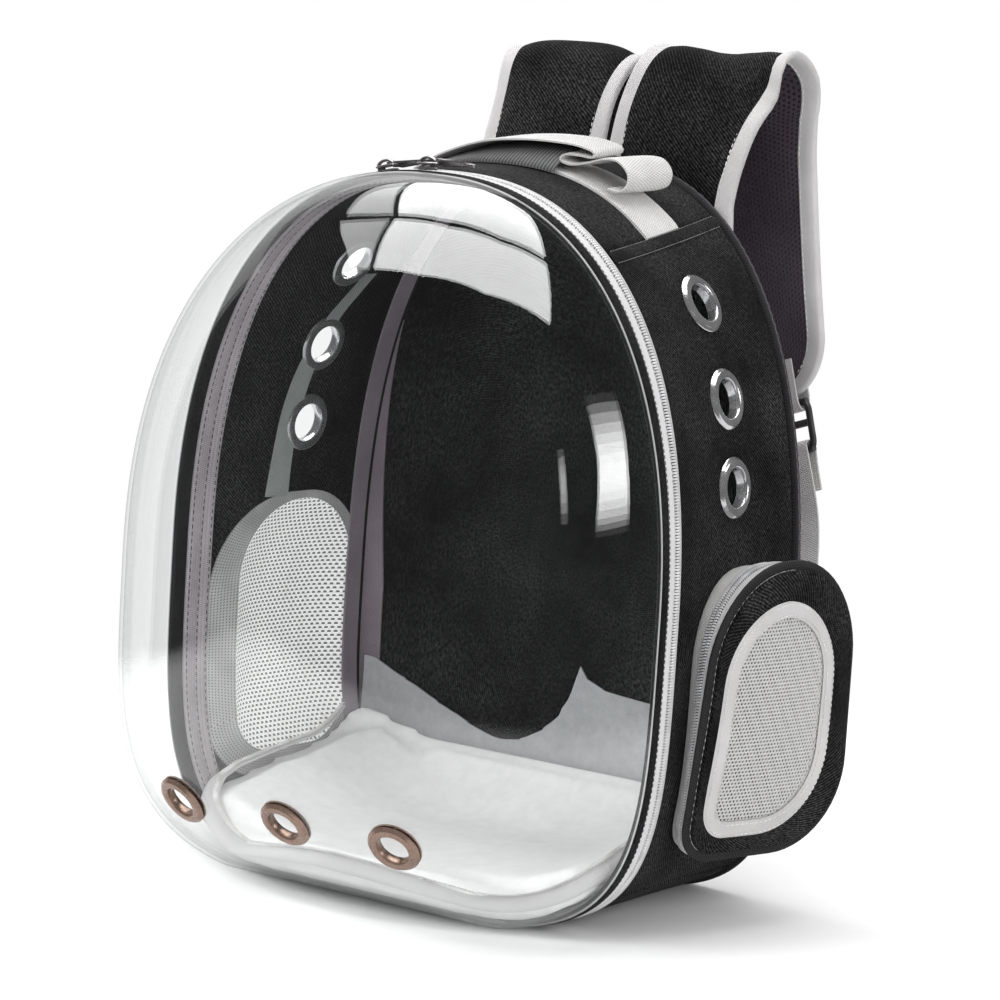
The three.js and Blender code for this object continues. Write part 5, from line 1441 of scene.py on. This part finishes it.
puff_up(pad, 4.4, 4.0, 2.5)
rim = np.concatenate([pad_top[0, 3:50][::-1], pad_top[1:-1, 0], pad_top[-1, 3:50]])
rim, _ = curve_through(rim[::3], 350)
inward_to = unit((np.array([0, -20.0, 0]) - rim) * np.array([1, 1, 0]))
part = np.linspace(-1, 1, 13)
lie = rim[:, None] + inward_to[:, None] * (3.6 + 5.6 * part)[None, :, None]
rise = 2.6 - 2.8 * np.clip(-part, 0, 1) ** 3 + 1.2 * part
hem_top = lie + np.stack([0 * rise, 0 * rise, rise], -1)[None]
hem_under = lie + np.stack([0 * rise, 0 * rise, rise - 1.4], -1)[None]
place(sheet("pad_hem", hem_top, hem_under, WHITE_TRIM), "plush")
zig_at = np.arange(0, len(rim) - 1, 0.625)
zig = np.stack([np.interp(zig_at, range(len(rim)), rim[:, k]) for k in range(3)], -1)
zig_in = np.stack([np.interp(zig_at, range(len(rim)), inward_to[:, k]) for k in range(3)], -1)
zig = zig + zig_in * (6.4 + 1.5 * (-1.0) ** np.arange(len(zig)))[:, None] + [0, 0, 4.8]
place(round_bar("pad_stitch", zig, 0.35, 0.35, np.tile([0.0, 0, 1.0], (len(zig), 1)), THREAD), "plush")


# Zip sliders and pulls

COIL_Y = -63.6
for k, facet in enumerate((12, 11)):
    angles = ring_angles(44)
    a, b = body_point(COIL_Y, angles[facet], 0.9), body_point(COIL_Y, angles[facet + 1], 0.9)
    along = unit(a - b)
    out = np.array([-along[2], 0, along[0]])
    mid = (a + b) / 2
    way = -along if k else along
    side = np.cross(out, way)
    spot = lambda s, w, h: mid + way * s + side * w + out * h
    plates = []
    for low, high in ((0.4, 1.7), (3.0, 4.4)):
        base = rounded([(-6.5, -2.2), (-2.4, -4.0), (6.5, -3.6), (6.5, 3.6), (-2.4, 4.0), (-6.5, 2.2)], 2.2, 4)
        rows = []
        for inset, h in ((0.7, low), (0.0, low + 0.4), (0.0, high - 0.4), (0.7, high)):
            rows.append([spot(s * (1 - inset / 7), w * (1 - inset / 4), h) for s, w in base])
        plates.append(swept("plate", rows, GUNMETAL, sharp=30))
    post = [[spot(s, w, h) for s, w in ((-5.5, -1), (-1.5, -1), (-1.5, 1), (-5.5, 1))] for h in (1.5, 3.2)]
    plates.append(swept("post", post, GUNMETAL))
    bend = np.linspace(0, PI, 17)
    bail = [spot(5.2 * math.cos(t), 0, 4.2 + 2.7 * math.sin(t)) for t in bend]
    plates.append(round_bar("bail", bail, 1.5, 0.8, np.tile(side, (17, 1)), GUNMETAL))
    place(join("slider_%d" % (k + 1), plates), "steel_metal", "zip_slider_%d" % (k + 1))
    pull_y = COIL_Y + 4 + 0.5 + 3
    at = lambda s, w, h: np.array([mid[0], pull_y, mid[2]]) + along * s + np.cross(out, along) * w + out * h
    outline = rounded([(-4, -3.2), (22, -3.2), (26, -1.6), (26, 1.6), (22, 3.2), (-4, 3.2)], 2.6, 5)
    hole = rounded([(-1, -1.4), (5.5, -1.4), (5.5, 1.4), (-1, 1.4)], 1.3, 5)
    count = 96
    shares = np.linspace(0, 1, count, endpoint=False)
    evenly = lambda loop: np.stack([np.interp(shares, np.linspace(0, 1, len(loop) + 1),
                                              np.append(np.array(loop)[:, i], loop[0][i]))
                                    for i in range(2)], -1)
    o, h = evenly(outline), evenly(hole)
    rows = []
    for i in range(count):
        (os_, ow), (hs, hw) = o[i], h[i]
        up = 3.4 * min(max(1 - (hs + os_) / 34, 0), 1)
        rows.append([at(hs, hw, 1.6 + up), at(os_, ow, 1.6 + up), at(os_, ow * 1.06, 2.2 + up),
                     at(os_, ow, 2.9 + up), at(hs, hw, 2.9 + up)])
    pull = swept("pull_%d" % (k + 1), rows, GUNMETAL, closed=True, sharp=30)
    place(pull, "steel_metal", "zip_pull_%d" % (k + 1))


# Floor, light and camera

def stage_floor():
    g = Look("floor_white")
    x, y, _ = g.split(g.coords("Object"))
    away = g.math("SQRT", g.math("ADD", g.math("MULTIPLY", x, x), g.math("MULTIPLY", y, y)))
    fade = g.spread(away, 0.52, 0.7)
    base = g.node("ShaderNodeBsdfDiffuse")
    g.put(base.inputs[0], (0.93, 0.93, 0.93))
    clear = g.node("ShaderNodeBsdfTransparent")
    both = g.node("ShaderNodeMixShader")
    g.put(both.inputs[0], fade)
    g.put(both.inputs[1], base.outputs[0])
    g.put(both.inputs[2], clear.outputs[0])
    g.put(g.out.inputs[0], both.outputs[0])
    a = np.arange(48) * 2 * PI / 48
    stage_plate("ground", np.stack([0.72 * np.cos(a), 0.72 * np.sin(a), 0 * a], -1), g.mat)


def stage_plate(name, corners, material):
    mesh = bpy.data.meshes.new(name)
    mesh.from_pydata(np.asarray(corners, float).tolist(), [], [list(range(len(corners)))])
    mesh.materials.append(material)
    made = bpy.data.objects.new(name, mesh)
    bpy.context.scene.collection.objects.link(made)
    return made


def light_card(name, corners, strength):
    """A bright card that only shows in reflections."""
    g = Look(name)
    glow = g.node("ShaderNodeEmission")
    g.put(glow.inputs["Strength"], strength)
    g.put(g.out.inputs[0], glow.outputs[0])
    card = stage_plate(name, corners, g.mat)
    card.visible_camera = card.visible_diffuse = card.visible_shadow = card.visible_transmission = False


stage_floor()

WINDOW = {
    "pane_1": (3.2, [(-1.302, 0.151), (-1.568, 1.123), (-1.642, 1.625), (-0.936, 0.143)]),
    "pane_2": (7.0, [(-0.891, 0.145), (-1.618, 1.661), (-1.427, 2.094), (-0.4, 1.6), (0.471, 0.728),
                     (0.085, 0.316), (-0.482, 0.146)]),
    "pane_3": (3.2, [(-1.299, 0.003), (-0.911, 0.031), (-0.848, -0.799), (-1.063, -0.764)]),
    "pane_4": (7.5, [(-0.865, 0.032), (-0.32, 0.046), (0.166, 0.239), (0.558, 0.648), (1.358, 0.025),
                     (0.544, -0.573), (-0.23, -0.78), (-0.789, -0.797)]),
}
for name, (strength, corners) in WINDOW.items():
    light_card(name, [(x, y, 1.9) for x, y in corners], strength)
STREAK = [(1.307, 0.202, 1.097), (1.0, 0.226, 1.06), (0.75, 0.228, 0.985), (0.55, 0.17, 0.92),
          (0.39, 0.105, 0.86), (0.288, 0.059, 0.808)]
STREAK_PARTS = 16
for k in range(STREAK_PARTS):
    along = np.array([k, k + 1]) / STREAK_PARTS
    (za, zb), (a0, b0), (a1, b1) = (np.interp(along * 5, range(6), [p[i] for p in STREAK]) for i in range(3))
    light_card("streak_%d" % k, [(1.9, a0, za), (1.9, a1, za), (1.9, b1, zb), (1.9, b0, zb)],
               11.0 * math.sin(PI * (k + 0.5) / STREAK_PARTS) ** 1.5)
for k in range(8):
    (za, zb) = 0.905 - 0.52 * np.array([k, k + 1]) / 8
    light_card("thin_streak_%d" % k, [(1.9, -0.53, za), (1.9, -0.42, za), (1.9, -0.42, zb), (1.9, -0.53, zb)],
               4.0 * math.sin(PI * (k + 0.5) / 8))
for k, (a, b) in enumerate((((-0.9, 1.9), (-2.1, 0.5)), ((-2.1, 0.5), (-2.3, -0.3)))):
    light_card("far_card_%d" % k, [(*a, -1.0), (*a, 1.7), (*b, 1.7), (*b, -1.0)], 1.0)

world = bpy.data.worlds.new("studio")
world.use_nodes = True
bpy.context.scene.world = world
tree = world.node_tree
tree.nodes.clear()
path = tree.nodes.new("ShaderNodeLightPath")
shade = tree.nodes.new("ShaderNodeBackground")
shade.inputs["Strength"].default_value = 0.75
for ray, strength in (("Is Glossy Ray", 0.09), ("Is Camera Ray", 1.0)):
    blend = tree.nodes.new("ShaderNodeMixShader")
    sky = tree.nodes.new("ShaderNodeBackground")
    sky.inputs["Strength"].default_value = strength
    tree.links.new(path.outputs[ray], blend.inputs[0])
    tree.links.new(shade.outputs[0], blend.inputs[1])
    tree.links.new(sky.outputs[0], blend.inputs[2])
    shade = blend
for node in tree.nodes:
    if node.bl_idname == "ShaderNodeBackground":
        node.inputs["Color"].default_value = (1, 1, 1, 1)
tree.links.new(shade.outputs[0], tree.nodes.new("ShaderNodeOutputWorld").inputs[0])


def lamp(name, at, target, width, height, power):
    data = bpy.data.lights.new(name, "AREA")
    data.shape, data.size, data.size_y, data.energy = "RECTANGLE", width, height, power
    made = bpy.data.objects.new(name, data)
    made.location = at
    made.rotation_euler = (Vector(target) - Vector(at)).to_track_quat("-Z", "Y").to_euler()
    made.visible_camera = made.visible_glossy = False
    bpy.context.scene.collection.objects.link(made)
    return made


lamp("key", (-1.4, -2.2, 2.4), (0, 0, 0.2), 1.6, 1.2, 45)
lamp("fill", (2.6, -1.4, 1.2), (0.1, 0, 0.25), 1.4, 1.4, 30)
lamp("above", (0.1, 0.2, 2.6), (0, 0, 0.2), 1.8, 1.8, 26)
lamp("side", (-2.4, 0.3, 0.7), (-0.18, 0, 0.15), 1.0, 1.0, 40)

camera_data = bpy.data.cameras.new("camera")
camera_data.lens, camera_data.sensor_width, camera_data.sensor_fit = 149.4, 36.0, "HORIZONTAL"
camera = bpy.data.objects.new("camera", camera_data)
azimuth, roll = math.radians(35.378), math.radians(3.648)
back = Vector((0.5733, -0.8073, 0.1401)).normalized()
right = Vector((math.cos(azimuth), math.sin(azimuth), 0))
right = (right - back * right.dot(back)).normalized()
up = back.cross(right)
right, up = right * math.cos(roll) + up * math.sin(roll), up * math.cos(roll) - right * math.sin(roll)
camera.matrix_world = Matrix(((right.x, up.x, back.x, 1.3399), (right.y, up.y, back.y, -1.8852),
                              (right.z, up.z, back.z, 0.5427), (0, 0, 0, 1)))
bpy.context.scene.collection.objects.link(camera)
bpy.context.scene.camera = camera
bpy.context.scene.view_settings.view_transform = "Standard"
